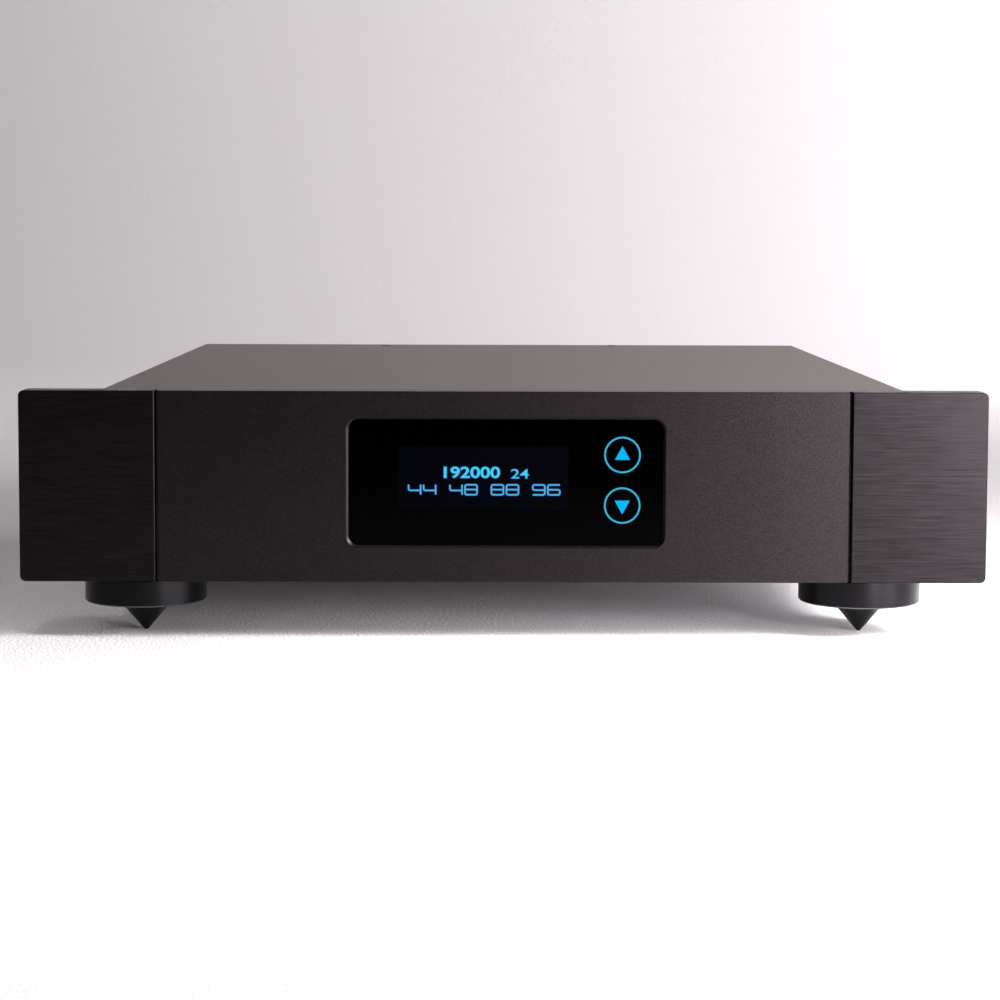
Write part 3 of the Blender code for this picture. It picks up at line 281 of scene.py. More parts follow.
def make_finishes():
    """One finish for each of the record's slots, then those that only small details take."""
    transformer_centre = extent("transformer")[2]
    return {
        "fascia": surface("fascia", (0.0172, 0.0145, 0.0151), 0.40, 1.0, grain=1700, depth=0.015,
                          contrast=0.34),
        "cheek": surface("cheek", (0.0116, 0.0102, 0.0111), 0.38, 1.0, grain=1, stretch=(75, 75, 6500),
                         depth=0.006, contrast=0.50, uneven=0.06),
        "cover": surface("cover", (0.056, 0.0500, 0.0478), 0.40, 0.9, grain=1800, depth=0.003,
                         contrast=0.06, Specular_Tint=(1.0, 0.92, 0.89, 1.0)),
        "chassis": surface("chassis", (0.30, 0.30, 0.31), 0.42, 0.9, grain=1, stretch=(20, 900, 900)),
        "rear": surface("rear", (0.020, 0.019, 0.021), 0.48, 0.6, grain=1900, depth=0.010),
        "glass": surface("glass", (0.0001, 0.0001, 0.0001), 0.06, grain=700, depth=0.0, uneven=0.02,
                         Specular_IOR_Level=0.012),
        "display": surface("display", (0.010, 0.012, 0.020), 0.25),
        "board": surface("board", (0.012, 0.085, 0.040), 0.40, grain=260, contrast=0.45, depth=0.03),
        "foot": surface("foot", (0.0098, 0.0096, 0.0105), 0.33, 1.0, grain=1, stretch=(12, 12, 2600),
                        depth=0.001, contrast=0.05, uneven=0.02),
        "spike": surface("spike", (0.011, 0.011, 0.012), 0.36, 0.9, grain=1, stretch=(30, 30, 2200)),
        "steel": surface("steel", (0.52, 0.52, 0.53), 0.30, 1.0, grain=1, stretch=(60, 900, 900)),
        "black_screw": surface("black_screw", (0.020, 0.020, 0.022), 0.35, 0.8, grain=2500),
        "black_plastic": surface("black_plastic", (0.016, 0.016, 0.018), 0.42, grain=1700, depth=0.015),
        "socket_metal": surface("socket_metal", (0.16, 0.16, 0.17), 0.30, 1.0, grain=1500, depth=0.006),
        "gold": surface("gold", (0.83, 0.58, 0.24), 0.20, 1.0, grain=1, stretch=(60, 900, 60)),
        "capacitor": surface("capacitor", (0.016, 0.028, 0.060), 0.30, grain=400, Coat_Weight=0.3),
        "winding": wound("winding", (0.42, 0.12, 0.035), transformer_centre, 190),
        "heatsink": surface("heatsink", (0.030, 0.030, 0.033), 0.45, 0.8, grain=1,
                            stretch=(900, 900, 20)),
        "cable": surface("cable", (0.26, 0.27, 0.29), 0.55, grain=1200, depth=0.05),
        "fuse": surface("fuse", (0.66, 0.68, 0.70), 0.15, 0.2, grain=800),
        # painted highlight: a lighter copy of the foot's finish, laid on the lower chamfer of each foot
        # disc
        "painted_edge_highlight": surface("painted_edge_highlight", (0.070, 0.067, 0.068), 0.34, 0.9, grain=1,
                             stretch=(12, 12, 2600)),
        "white_print": surface("white_print", (0.62, 0.62, 0.60), 0.60, grain=2600),
        "white_plastic": surface("white_plastic", (0.70, 0.69, 0.65), 0.38, grain=1500),
        "red_plastic": surface("red_plastic", (0.42, 0.018, 0.014), 0.38, grain=1500),
        "orange_plastic": surface("orange_plastic", (0.60, 0.16, 0.012), 0.38, grain=1500),
        "component": surface("component", (0.060, 0.050, 0.042), 0.45, grain=900, contrast=0.3),
        "ring_light": glowing("ring_light", (0.040, 0.470, 0.730)),
        "arrow_light": glowing("arrow_light", (0.001, 0.480, 1.000)),
        "figure_light": glowing("figure_light", (0.060, 0.620, 0.900)),
        "line_light": glowing("line_light", (0.085, 0.450, 0.740)),
        "halo_light": glowing("halo_light", (0.0010, 0.018, 0.100)),
        "panel_light": glowing("panel_light", (0.0002, 0.0004, 0.0024)),
    }


# ---------------------------------------------------------------- modelling helpers
AXIS_TURN = {
    "y": Matrix.Rotation(math.radians(-90), 3, "X"),
    "z": Matrix.Identity(3),
}


def add_object(name, data):
    """A new object in the scene."""
    obj = bpy.data.objects.new(name, data)
    bpy.context.scene.collection.objects.link(obj)
    return obj


def joint(name):
    """The frame's entry for a joint."""
    return next(entry for entry in frame["joints"] if entry["name"] == name)


def extent(node):
    """Lowest corner, highest corner and centre of a node of the frame."""
    low, high = (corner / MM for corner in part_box(node))
    return low, high, (low + high) / 2


def mesh_from(name, bm):
    bmesh.ops.recalc_face_normals(bm, faces=bm.faces)
    mesh = bpy.data.meshes.new(name)
    bm.to_mesh(mesh)
    bm.free()
    return smoothed(mesh)


def smoothed(mesh):
    mesh.shade_smooth()
    mesh.set_sharp_from_angle(angle=SHARP)
    return mesh


def evaluated(obj):
    """The mesh of an object with its modifiers worked in."""
    depsgraph = bpy.context.evaluated_depsgraph_get()
    return bpy.data.meshes.new_from_object(obj.evaluated_get(depsgraph))


def piece(name, mesh, finish, body="chassis", stands_for=()):
    """A shown piece. It rides on a body and may stand for nodes of the frame."""
    mesh.materials.clear()
    mesh.materials.append(finishes[finish])
    obj = add_object(name, mesh)
    shading = obj.modifiers.new("broad faces shade flat", "WEIGHTED_NORMAL")
    shading.keep_sharp = True
    obj.data = evaluated(obj)
    obj.modifiers.clear()
    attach(obj, body)
    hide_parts(*stands_for)
    return obj


def cuboid(size, centre=(0, 0, 0), bm=None):
    """Adds a box to bm, or to a new bmesh."""
    bm = bm or bmesh.new()
    corners = bmesh.ops.create_cube(bm, size=1)["verts"]
    bmesh.ops.scale(bm, vec=Vector(size) * MM, verts=corners)
    bmesh.ops.translate(bm, vec=Vector(centre) * MM, verts=corners)
    return bm


def bevel(bm, width, segments, chosen):
    """Rounds the edges whose direction and middle, in millimetres, the function chosen accepts."""
    edges = []
    for edge in bm.edges:
        first, last = (vert.co / MM for vert in edge.verts)
        if chosen((last - first).normalized(), (first + last) / 2):
            edges.append(edge)
    bmesh.ops.bevel(bm, geom=edges, offset=width * MM, segments=segments, profile=0.5, affect="EDGES")


def runs_along(direction, axis):
    return abs(direction["xyz".index(axis)]) > 0.999


def stand(bm, verts, centre, axis):
    """Turns what was made along Z to lie along an axis, and moves it to centre."""
    bmesh.ops.rotate(bm, matrix=AXIS_TURN[axis], verts=verts)
    bmesh.ops.translate(bm, vec=Vector(centre) * MM, verts=verts)


def cylinder(radius, ends, centre, axis="y", steps=SMALL_ROUND, bm=None):
    """Adds to bm, or to a new bmesh, a cylinder between two distances from centre along an axis."""
    bm = bm or bmesh.new()
    verts = bmesh.ops.create_cone(
        bm,
        cap_ends=True,
        segments=steps,
        radius1=radius * MM,
        radius2=radius * MM,
        depth=(ends[1] - ends[0]) * MM,
    )["verts"]
    bmesh.ops.translate(bm, vec=Vector((0, 0, sum(ends) / 2 * MM)), verts=verts)
    stand(bm, verts, centre, axis)
    return bm


def turned(profile, centre, axis="z", steps=ROUND, closed=False, bm=None):
    """Adds a turned shape. Its profile is (radius, height) points, and a closed one makes a ring."""
    bm = bm or bmesh.new()
    verts = [bm.verts.new((radius * MM, 0, height * MM)) for radius, height in profile]
    edges = [bm.edges.new(pair) for pair in zip(verts, verts[1:])]
    if closed:
        edges.append(bm.edges.new((verts[-1], verts[0])))
    before = set(bm.verts) - set(verts)
    bmesh.ops.spin(bm, geom=verts + edges, axis=(0, 0, 1), steps=steps, angle=math.tau, use_merge=True)
    made = [vert for vert in bm.verts if vert not in before]
    bmesh.ops.remove_doubles(bm, verts=made, dist=MERGE)
    made = [vert for vert in bm.verts if vert not in before]
    stand(bm, made, centre, axis)
    return bm


def arc(centre, radius, start, end, steps):
    """Points of an arc, with its angles in degrees."""
    angles = [math.radians(start + (end - start) * i / steps) for i in range(steps + 1)]
    return [(centre[0] + radius * math.cos(a), centre[1] + radius * math.sin(a)) for a in angles]


def rounded_rectangle(width, height, radius, centre=(0, 0)):
    """Outline of a rounded rectangle, seen from the front, as (x, z) points."""
    points = []
    for across, up, start in ((1, 1, 0), (-1, 1, 90), (-1, -1, 180), (1, -1, 270)):
        corner = (centre[0] + across * (width / 2 - radius), centre[1] + up * (height / 2 - radius))
        points += arc(corner, radius, start, start + 90, CORNER_STEPS)
    return points


def loft(stations):
    """A skin over outlines that stand one behind the other, each (y, points), closed at both ends."""
    bm = bmesh.new()
    loops = []
    for y, outline in stations:
        loops.append([bm.verts.new(Vector((x, y, z)) * MM) for x, z in outline])
    for near, far in zip(loops, loops[1:]):
        for i in range(len(near)):
            bm.faces.new((near[i - 1], near[i], far[i], far[i - 1]))
    bm.faces.new(loops[0])
    bm.faces.new(loops[-1])
    return bm


def plate(width, height, radius, centre, near, far, rim):
    """A rounded plate facing +Y, with the rim of its far face rounded over."""
    stations = [(near, rounded_rectangle(width, height, radius, centre))]
    for across, along in arc((0, 0), rim, 0, 90, 4):
        inset = 2 * (rim - across)
        outline = rounded_rectangle(width - inset, height - inset, radius - inset / 2, centre)
        stations.append((far - rim + along, outline))
    return loft(stations)


def carve(mesh, *tools, operation="DIFFERENCE"):
    """The mesh with each tool's mesh cut out of it, or joined to it."""
    target = add_object("target", mesh)
    helpers = []
    for cutter in tools:
        helper = add_object("tool", cutter)
        helpers.append(helper)
        modifier = target.modifiers.new("carving", "BOOLEAN")
        modifier.operation = operation
        modifier.object = helper
    carved = evaluated(target)
    for helper in (target, *helpers):
        bpy.data.objects.remove(helper)
    return smoothed(carved)


def tool(bm):
    return mesh_from("tool", bm)


# ---------------------------------------------------------------- fascia
def window():
    """Width, height and centre of the window, from the glass behind it."""
    low, high, middle = extent("window_glass")
    return high.x - low.x - 2 * GLASS_MARGIN, high.z - low.z - 2 * GLASS_MARGIN, (middle.x, middle.z)


def fascia_plate():
    """Middle plate: chamfered window, pocket behind it, a rebate at each end and broken edges."""
    low, high, middle = extent("fascia_center")
    size = high - low
    bm = cuboid(size, middle)
    bevel(bm, EDGE, 3, lambda d, m: runs_along(d, "x") and m.y < middle.y)
    rebate = (2 * GROOVE, 2 * GROOVE_DEPTH, size.z + 2 * PAST)
    tools = [tool(cuboid(rebate, (end, low.y, middle.z))) for end in (low.x, high.x)]
    width, height, centre = window()
    stations = []
    for y, grow in ((-1.0, WINDOW_CHAMFER + 1), (WINDOW_CHAMFER, 0), (size.y / 2, 0)):
        outline = rounded_rectangle(width + 2 * grow, height + 2 * grow, WINDOW_RADIUS + grow, centre)
        stations.append((low.y + y, outline))
    tools.append(tool(loft(stations)))
    margin = 2 * (GLASS_MARGIN + SCREW_CLEARANCE)
    pocket = rounded_rectangle(width + margin, height + margin, POCKET_RADIUS, centre)
    tools.append(tool(loft([(low.y + LIP, pocket), (high.y + PAST, pocket)])))
    carved = carve(mesh_from("fascia_plate", bm), *tools)
    piece("fascia_plate", carved, "fascia", stands_for=["fascia_center"])


def cheek_plate(side):
    """End plate, brushed along its length. side is -1 on the left and 1 on the right."""
    where = "left" if side < 0 else "right"
    low, high, middle = extent(f"fascia_cheek_{where}")
    bm = cuboid(high - low, middle)
    bevel(bm, CHEEK_CORNER, 10, lambda d, m: runs_along(d, "y") and (m.x - middle.x) * side > 0)
    bevel(
        bm, CHEEK_CHAMFER, 1,
        lambda d, m: runs_along(d, "z") and (m.x - middle.x) * side < 0 and m.y < middle.y,
    )

    def front_rim(direction, place):
        at_groove = (place.x - middle.x) * side < GROOVE + 1 - (high.x - low.x) / 2
        return place.y < low.y + 0.01 and not (runs_along(direction, "z") and at_groove)

    bevel(bm, EDGE, 3, front_rim)
    piece(f"cheek_plate_{where}", mesh_from(f"cheek_plate_{where}", bm), "cheek",
          stands_for=[f"fascia_cheek_{where}"])


# ---------------------------------------------------------------- lit marks on the glass
def on_glass():
    """Depth of the glass's front face."""
    return extent("window_glass")[0].y


def figures(name, text, low, high, weight, finish, depth=LIT):
    """Numerals stretched to fill a box between two (x, z) corners, as a thin lit sheet on the glass."""
    curve = bpy.data.curves.new(name, "FONT")
    curve.body = text
    curve.offset = weight
    curve.extrude = 0.5
    curve.resolution_u = 8
    written = add_object(name, curve)
    mesh = evaluated(written)
    bpy.data.objects.remove(written)
    across = [vert.co.x for vert in mesh.vertices]
    up = [vert.co.y for vert in mesh.vertices]
    for vert in mesh.vertices:
        x = low[0] + (vert.co.x - min(across)) / (max(across) - min(across)) * (high[0] - low[0])
        z = low[1] + (vert.co.y - min(up)) / (max(up) - min(up)) * (high[1] - low[1])
        y = on_glass() - depth * (vert.co.z + 0.5)
        vert.co = Vector((x, y, z)) * MM
    piece(name, mesh, finish)


def softened(path, closed):
    """A glyph's path with its corners rounded."""
    points = []
    for i, corner in enumerate(path):
        if not closed and i in (0, len(path) - 1):
            points.append(Vector(corner))
            continue
        middle = Vector(corner)
        start = middle + (Vector(path[i - 1]) - middle).normalized() * GLYPH_CORNER
        end = middle + (Vector(path[(i + 1) % len(path)]) - middle).normalized() * GLYPH_CORNER
        for step in range(5):
            t = step / 4
            points.append(start * (1 - t) ** 2 + middle * 2 * t * (1 - t) + end * t ** 2)
    return points


def ribbon(path, closed, width, depth, bm):
    """Adds to bm a line of even width along (x, z) points, lying on the glass."""
    rings = []
    for i, point in enumerate(path):
        before = path[i - 1] if closed or i else point
        after = path[(i + 1) % len(path)] if closed or i < len(path) - 1 else point
        along = (after - before).normalized()
        across = Vector((-along.y, along.x)) * width / 2
        left, right = point + across, point - across
        corners = []
        for spot, y in ((left, 0), (right, 0), (right, depth), (left, depth)):
            corners.append(bm.verts.new(Vector((spot.x, on_glass() - y, spot.y)) * MM))
        rings.append(corners)
    if closed:
        rings.append(rings[0])
    else:
        bm.faces.new(rings[0])
        bm.faces.new(rings[-1])
    for near, far in zip(rings, rings[1:]):
        for i in range(4):
            bm.faces.new((near[i - 1], near[i], far[i], far[i - 1]))


def line_figures(name, text, low, high, line, finish, depth=LIT):
    """Wide numerals drawn with a thin line, filling a box between two (x, z) corners."""
    gaps = text.count(" ")
    pitch = (high[0] - low[0]) / (len(text) - gaps + gaps * WORD_GAP - 1 + GLYPH_WIDTH)
    height = high[1] - low[1]
    bm = bmesh.new()
    x = low[0]
    for figure in text:
        if figure == " ":
            x += pitch * WORD_GAP
            continue
        for path, closed in GLYPHS[figure]:
            scaled = [(x + across * pitch * GLYPH_WIDTH, low[1] + up * height) for across, up in path]
            ribbon(softened(scaled, closed), closed, line, depth, bm)
        x += pitch
    piece(name, mesh_from(name, bm), finish)


def key_marks(z, number, up):
    """A ring and a triangle for one touch key. up is 1 or -1, where the triangle points."""
    outer, inner = RING_RADIUS, RING_RADIUS - RING_LINE
    ring = [(outer, LIT), (outer, 0), (inner, 0), (inner, LIT)]
    place = (KEY_X, on_glass() - LIT, z)
    piece(f"key_ring_{number}", mesh_from("ring", turned(ring, place, "y", closed=True)),
          "ring_light")
    corners = [(-ARROW_HALF, ARROW_BASE), (ARROW_HALF, ARROW_BASE), (0, ARROW_TIP)]
    outline = [(KEY_X + across, z + along * up) for across, along in corners]
    bm = loft([(on_glass() - LIT, outline), (on_glass(), outline)])
    bevel(bm, ARROW_CORNER, 4, lambda d, m: runs_along(d, "y"))
    piece(f"key_arrow_{number}", mesh_from("arrow", bm), "arrow_light")


def lit_marks():
    """Sample rate and bit depth over a scale of rates, and the two keys to their right."""
    outline = rounded_rectangle(*PANEL_SIZE, PANEL_RADIUS, PANEL_CENTRE)
    bm = loft([(on_glass() - LIT / 2, outline), (on_glass(), outline)])
    piece("display_panel", mesh_from("display_panel", bm), "panel_light")
    for name, text, (low, high), weight in (
        ("rate_figures", "192000", RATE_BOX, RATE_WEIGHT),
        ("depth_figures", "24", DEPTH_BOX, DEPTH_WEIGHT),
    ):
        figures(name, text, low, high, weight, "figure_light")
        wide_low = (low[0] - HALO, low[1] - HALO)
        wide_high = (high[0] + HALO, high[1] + HALO)
        figures(f"{name}_halo", text, wide_low, wide_high, weight + HALO_WEIGHT, "halo_light", HALO_LIT)
    line_figures("scale_figures", SCALE, *SCALE_BOX, SCALE_LINE, "line_light")
    line_figures("scale_figures_halo", SCALE, *SCALE_BOX, SCALE_LINE + 2 * HALO, "halo_light", HALO_LIT)
    for number, (z, up) in enumerate(zip(KEY_HEIGHTS, (1, -1)), 1):
        key_marks(z, number, up)


# ---------------------------------------------------------------- casing
def cover_shell():
    """Folded sheet: top and both sides, with a countersunk hole for each screw."""
    low, high = extent("top_cover")[:2]
    outline = []
    for inset, turn in ((0, 1), (SHEET, -1)):
        left, right, top = low.x + inset, high.x - inset, high.z - inset
        radius = BEND - inset
        path = [(left, low.z)]
        path += arc((left + radius, top - radius), radius, 180, 90, CORNER_STEPS)
        path += arc((right - radius, top - radius), radius, 90, 0, CORNER_STEPS)
        path.append((right, low.z))
        outline += path[::turn]
    mesh = mesh_from("cover_shell", loft([(low.y, outline), (high.y, outline)]))
    holes = []
    narrow = SCREW_CORE + SCREW_CLEARANCE
    sink = -SCREW_RIM - SCREW_CLEARANCE
    for where in ("left", "right"):
        screw_low, screw_high, place = extent(f"cover_screw_{where}")
        length = screw_high.z - screw_low.z
        wide = (screw_high.x - screw_low.x) / 2 + SCREW_CLEARANCE
        profile = [(0, PAST), (wide, PAST), (wide, sink), (narrow, sink + narrow - wide)]
        profile += [(narrow, -length - PAST), (0, -length - PAST)]
        holes.append(tool(turned(profile, (place.x, place.y, high.z), steps=SMALL_ROUND)))
    piece("cover_shell", carve(mesh, *holes), "cover", stands_for=["top_cover"])


def hex_screw(node, axis):
    """Countersunk screw with a domed head, a hexagon socket and rolled threads."""
    low, high, middle = extent(node)
    index = "xyz".index(axis)
    radius = (high.x - low.x) / 2
    length = high[index] - low[index] - SCREW_PROUD
    place = middle.copy()
    place[index] = high[index] - SCREW_PROUD
    profile = [(0, SCREW_PROUD), (radius * 0.6, SCREW_PROUD), (radius * 0.88, SCREW_PROUD - 0.08)]
    profile += [(radius, SCREW_PROUD - 0.25), (radius, -SCREW_RIM)]
    profile.append((SCREW_CORE, SCREW_CORE - radius - SCREW_RIM))
    profile += threads(SCREW_CORE, SCREW_CORE - radius - 0.3, 0.2 - length, SCREW_PITCH)
    profile.append((0, -length))
    head = mesh_from(node, turned(profile, place, axis, SMALL_ROUND))
    socket = tool(cylinder(HEX_RADIUS, (SCREW_PROUD - HEX_DEPTH, PAST), place, axis, 6))
    piece(f"{node}_fine", carve(head, socket), "black_screw", stands_for=[node])


def threads(radius, top, bottom, pitch):
    """Profile of ridges between two heights, the crests at radius."""
    count = int((top - bottom) / pitch)
    points = []
    for i in range(count):
        height = top - i * pitch
        points += [(radius, height), (radius - pitch * 0.45, height - pitch / 2)]
    points.append((radius, bottom))
    return points


# ---------------------------------------------------------------- feet
def foot_puck(where):
    """Turned disc, with a painted highlight along its lower chamfer and a shallow groove under it."""
    node = f"foot_disc_{where}"
    low, high, middle = extent(node)
    radius = (high.x - low.x) / 2
    top, bottom = high.z, low.z
    cut = DISC_CHAMFER
    profile = [(BUSH_HOLE, top), (radius - 0.5, top), (radius - 0.12, top - 0.14), (radius, top - 0.5)]
    profile += [(radius, bottom + cut + 0.1), (radius - 0.08, bottom + cut), (radius - cut, bottom)]
    inner, outer = UNDER_GROOVE
    roof = bottom + UNDER_GROOVE_DEPTH
    profile += [(outer, bottom), (outer - 0.3, roof), (inner + 0.3, roof), (inner, bottom)]
    profile.append((BUSH_HOLE, bottom))
    bm = turned(profile, (middle.x, middle.y, 0), closed=True)
    puck = piece(f"foot_puck_{where}", mesh_from(node, bm), "foot", stands_for=[node])
    # The lower chamfer takes the lighter finish: a painted highlight round the disc's lower edge.
    puck.data.materials.append(finishes["painted_edge_highlight"])
    for face in puck.data.polygons:
        if bottom < face.center.z / MM < bottom + cut and face.normal.z < -0.3:
            distance = Vector((face.center.x / MM - middle.x, face.center.y / MM - middle.y)).length
            if distance > radius - cut:
                face.material_index = 1


def foot_cone(where):
    """Levelling spike: a cone with a small rounded tip under a threaded stud."""
    node = f"foot_spike_{where}"
    low, high, middle = extent(node)
    radius = (high.x - low.x) / 2
    shoulder = extent(f"foot_disc_{where}")[0].z - SCREW_CLEARANCE
    profile = [(0, high.z), (STUD_RADIUS - 0.7, high.z)]
    profile += threads(STUD_RADIUS, high.z - 0.7, shoulder + 0.4, STUD_PITCH)
    profile += [(STUD_RADIUS - 0.5, shoulder), (radius - 0.5, shoulder)]
    profile += [(radius - 0.12, shoulder - 0.12), (radius, shoulder - 0.5)]
    profile += [(TIP + 0.35, 0.45), (TIP, 0.12), (TIP - 0.25, 0), (0, 0)]
    bm = turned(profile, (middle.x, middle.y, 0))
    piece(f"foot_cone_{where}", mesh_from(node, bm), "spike", body=f"spike_{where}", stands_for=[node])


# ---------------------------------------------------------------- rear sockets
def pin_places(place):
    """Where the three contacts of an XLR socket stand round its centre."""
    x, y, z = place
    for degrees in PIN_ANGLES:
        angle = math.radians(degrees)
        yield (x + XLR_PIN_CIRCLE * math.cos(angle), y, z + XLR_PIN_CIRCLE * math.sin(angle))


def xlr_body(node, cup_depth, *more_tools):
    """Flange with a rounded rim and a barrel behind it, bored out to the cup."""
    low, high, middle = extent(node)
    place = (middle.x, high.y, middle.z)
    flange = plate(high.x - low.x, high.z - low.z, 3, (middle.x, middle.z),
                   high.y - XLR_FLANGE_THICKNESS, high.y, 0.4)
    barrel = cylinder(XLR_BARREL, (low.y - high.y, -1), place, steps=ROUND)
    mouth = XLR_CUP + 0.7
    profile = [(0, PAST), (mouth, PAST), (mouth, 0), (XLR_CUP, XLR_CUP - mouth)]
    profile += [(XLR_CUP, -cup_depth), (0, -cup_depth)]
    cup = tool(turned(profile, place, "y"))
    solid = carve(mesh_from(node, flange), tool(barrel), operation="UNION")
    piece(f"{node}_shell", carve(solid, cup, *more_tools), "socket_metal", stands_for=[node])
    for side, where in ((-1, "left"), (1, "right")):
        spot = (middle.x + side * XLR_SCREW_X, high.y, middle.z - side * XLR_SCREW_Z)
        dome_screw(f"{node}_screw_{where}", spot, XLR_SCREW_RADIUS)
    return place


def dome_screw(name, place, radius):
    """Black screw with a domed head and a cross recess, standing on a face that looks back."""
    top, sunk = 0.9, -0.2
    profile = [(0, top), (radius * 0.5, 0.82), (radius * 0.85, 0.5), (radius, 0.05)]
    profile += [(radius, sunk), (0, sunk)]
    head = mesh_from(name, turned(profile, place, "y", SMALL_ROUND))
    centre = (place[0], place[1] + top, place[2])
    reach = radius * 1.1
    sizes = ((reach, SLOT_DEPTH, SLOT_WIDTH), (SLOT_WIDTH, SLOT_DEPTH, reach))
    slots = [tool(cuboid(size, centre)) for size in sizes]
    piece(name, carve(head, *slots), "black_screw")


def xlr_male(node):
    """Output: three plated pins on an insulating disc at the bottom of the cup."""
    place = xlr_body(node, XLR_MALE_DEPTH)
    radius, bottom = XLR_CUP - 0.1, -XLR_MALE_DEPTH
    top = bottom + 1.4
    disc = [(0, top), (radius - 0.5, top), (radius, top - 0.4), (radius, bottom), (0, bottom)]
    piece(f"{node}_insulator", mesh_from(node, turned(disc, place, "y")), "black_plastic")
    pins = bmesh.new()
    pin = [(0, -2), (0.6, -2.1), (1.05, -2.5), (1.2, -3.1), (1.2, -13.5), (0, -13.5)]
    for spot in pin_places(place):
        turned(pin, spot, "y", SMALL_ROUND, bm=pins)
    piece(f"{node}_pins", mesh_from(node, pins), "gold")


def xlr_female():
    """Input: an insert with three sleeved contacts, under the slot of the latch."""
    node = "xlr_input"
    latch_low, latch_high, latch = extent("xlr_latch")
    slot = tool(cuboid((latch_high.x - latch_low.x + 0.8, 16, latch_high.z - latch_low.z + 0.8),
                       (latch.x, extent(node)[1].y, latch.z)))
    place = xlr_body(node, XLR_FEMALE_DEPTH, slot)
    radius, bottom = 7.9, -XLR_FEMALE_DEPTH
    insert = [(0, -0.6), (radius - 0.6, -0.6), (radius - 0.15, -0.8), (radius, -1.3)]
    insert += [(radius, bottom), (0, bottom)]
    holes = bmesh.new()
    sleeves = bmesh.new()
    front, back = -1.0, -7.8
    sleeve = [(SLEEVE_BORE, front), (SLEEVE, front), (SLEEVE, back), (SLEEVE_BORE, back)]
    for spot in pin_places(place):
        cylinder(SLEEVE + 0.05, (back - 0.2, PAST), spot, bm=holes)
        turned(sleeve, spot, "y", SMALL_ROUND, closed=True, bm=sleeves)
    body = carve(mesh_from(node, turned(insert, place, "y")), tool(holes))
    piece("xlr_input_insert", body, "black_plastic")
    piece("xlr_input_sleeves", mesh_from(node, sleeves), "gold")


def rca_socket(node, colour):
    """Gold-plated shell over a coloured washer, with a coloured insulator and a sprung centre contact."""
    low, high, middle = extent(node)
    place = (middle.x, high.y, middle.z)
    end = low.y - high.y
    shell = [(0, RCA_BOTTOM), (RCA_BORE, RCA_BOTTOM), (RCA_BORE, -0.3), (RCA_BORE + 0.25, 0)]
    shell += [(RCA_BARREL - 0.3, 0), (RCA_BARREL, -0.35), (RCA_BARREL, -9.2)]
    shell += [(RCA_FLANGE - 0.3, -9.2), (RCA_FLANGE, -9.5), (RCA_FLANGE, -10.4), (RCA_NECK, -10.4)]
    shell += [(RCA_NECK, end + 6), (RCA_TAIL, end + 6), (RCA_TAIL, end), (0, end)]
    piece(f"{node}_shell", mesh_from(node, turned(shell, place, "y")), "gold", stands_for=[node])
    inner = RCA_NECK + 0.05
    washer = [(inner, -10.45), (RCA_FLANGE, -10.45), (RCA_FLANGE, -11.7), (inner, -11.7)]
    core = [(1.75, -0.9), (2.0, -0.7), (3.0, -0.7), (3.25, -0.9), (3.25, -8.4), (1.75, -8.4)]
    contact = [(1.3, -1.1), (1.5, -1.0), (1.7, -1.2), (1.7, -8.4), (1.3, -8.4)]
    for name, profile, finish, slot in (
        ("washer", washer, colour, "black_plastic"),
        ("core", core, colour, "black_plastic"),
        ("contact", contact, "gold", "gold"),
    ):
        piece(f"{node}_{name}", mesh_from(node, turned(profile, place, "y", closed=True)), finish)


def usb_tongue():
    """White tongue over the one in the socket, with two contacts above and two below."""
    high, middle = extent("usb_socket")[1:]
    panel = high.y - USB_PANEL
    front, back = panel + 0.06, panel - USB_TONGUE_DEPTH
    width, height = USB_TONGUE
    bm = cuboid((width, front - back, height), (middle.x, (front + back) / 2, middle.z))
    bevel(bm, 0.25, 2, lambda d, m: m.y > front - 0.01)
    piece("usb_tongue", mesh_from("usb_tongue", bm), "white_plastic")
    contacts = bmesh.new()
    for across in (-1.25, 1.25):
        for up in (-1.72, 1.72):
            cuboid(USB_CONTACT, (middle.x + across, panel - 4.2, middle.z + up), contacts)
    piece("usb_contacts", mesh_from("usb_contacts", contacts), "gold")


def mains_blades():
    """Plated blades over those of the power inlet, with their ends narrowed."""
    high, middle = extent("mains_inlet")[1:]
    front, back = high.y - BLADE_FRONT, high.y - BLADE_BACK
    width, height = BLADE
    blades = bmesh.new()
    for across, up in BLADE_PLACES:
        one = cuboid((width, front - back, height), (middle.x + across, (front + back) / 2, middle.z + up))
        bevel(one, 0.5, 2, lambda d, m: m.y > front - 0.01)
        blades.from_mesh(mesh_from("blade", one))
    piece("mains_blades", mesh_from("mains_blades", blades), "steel")


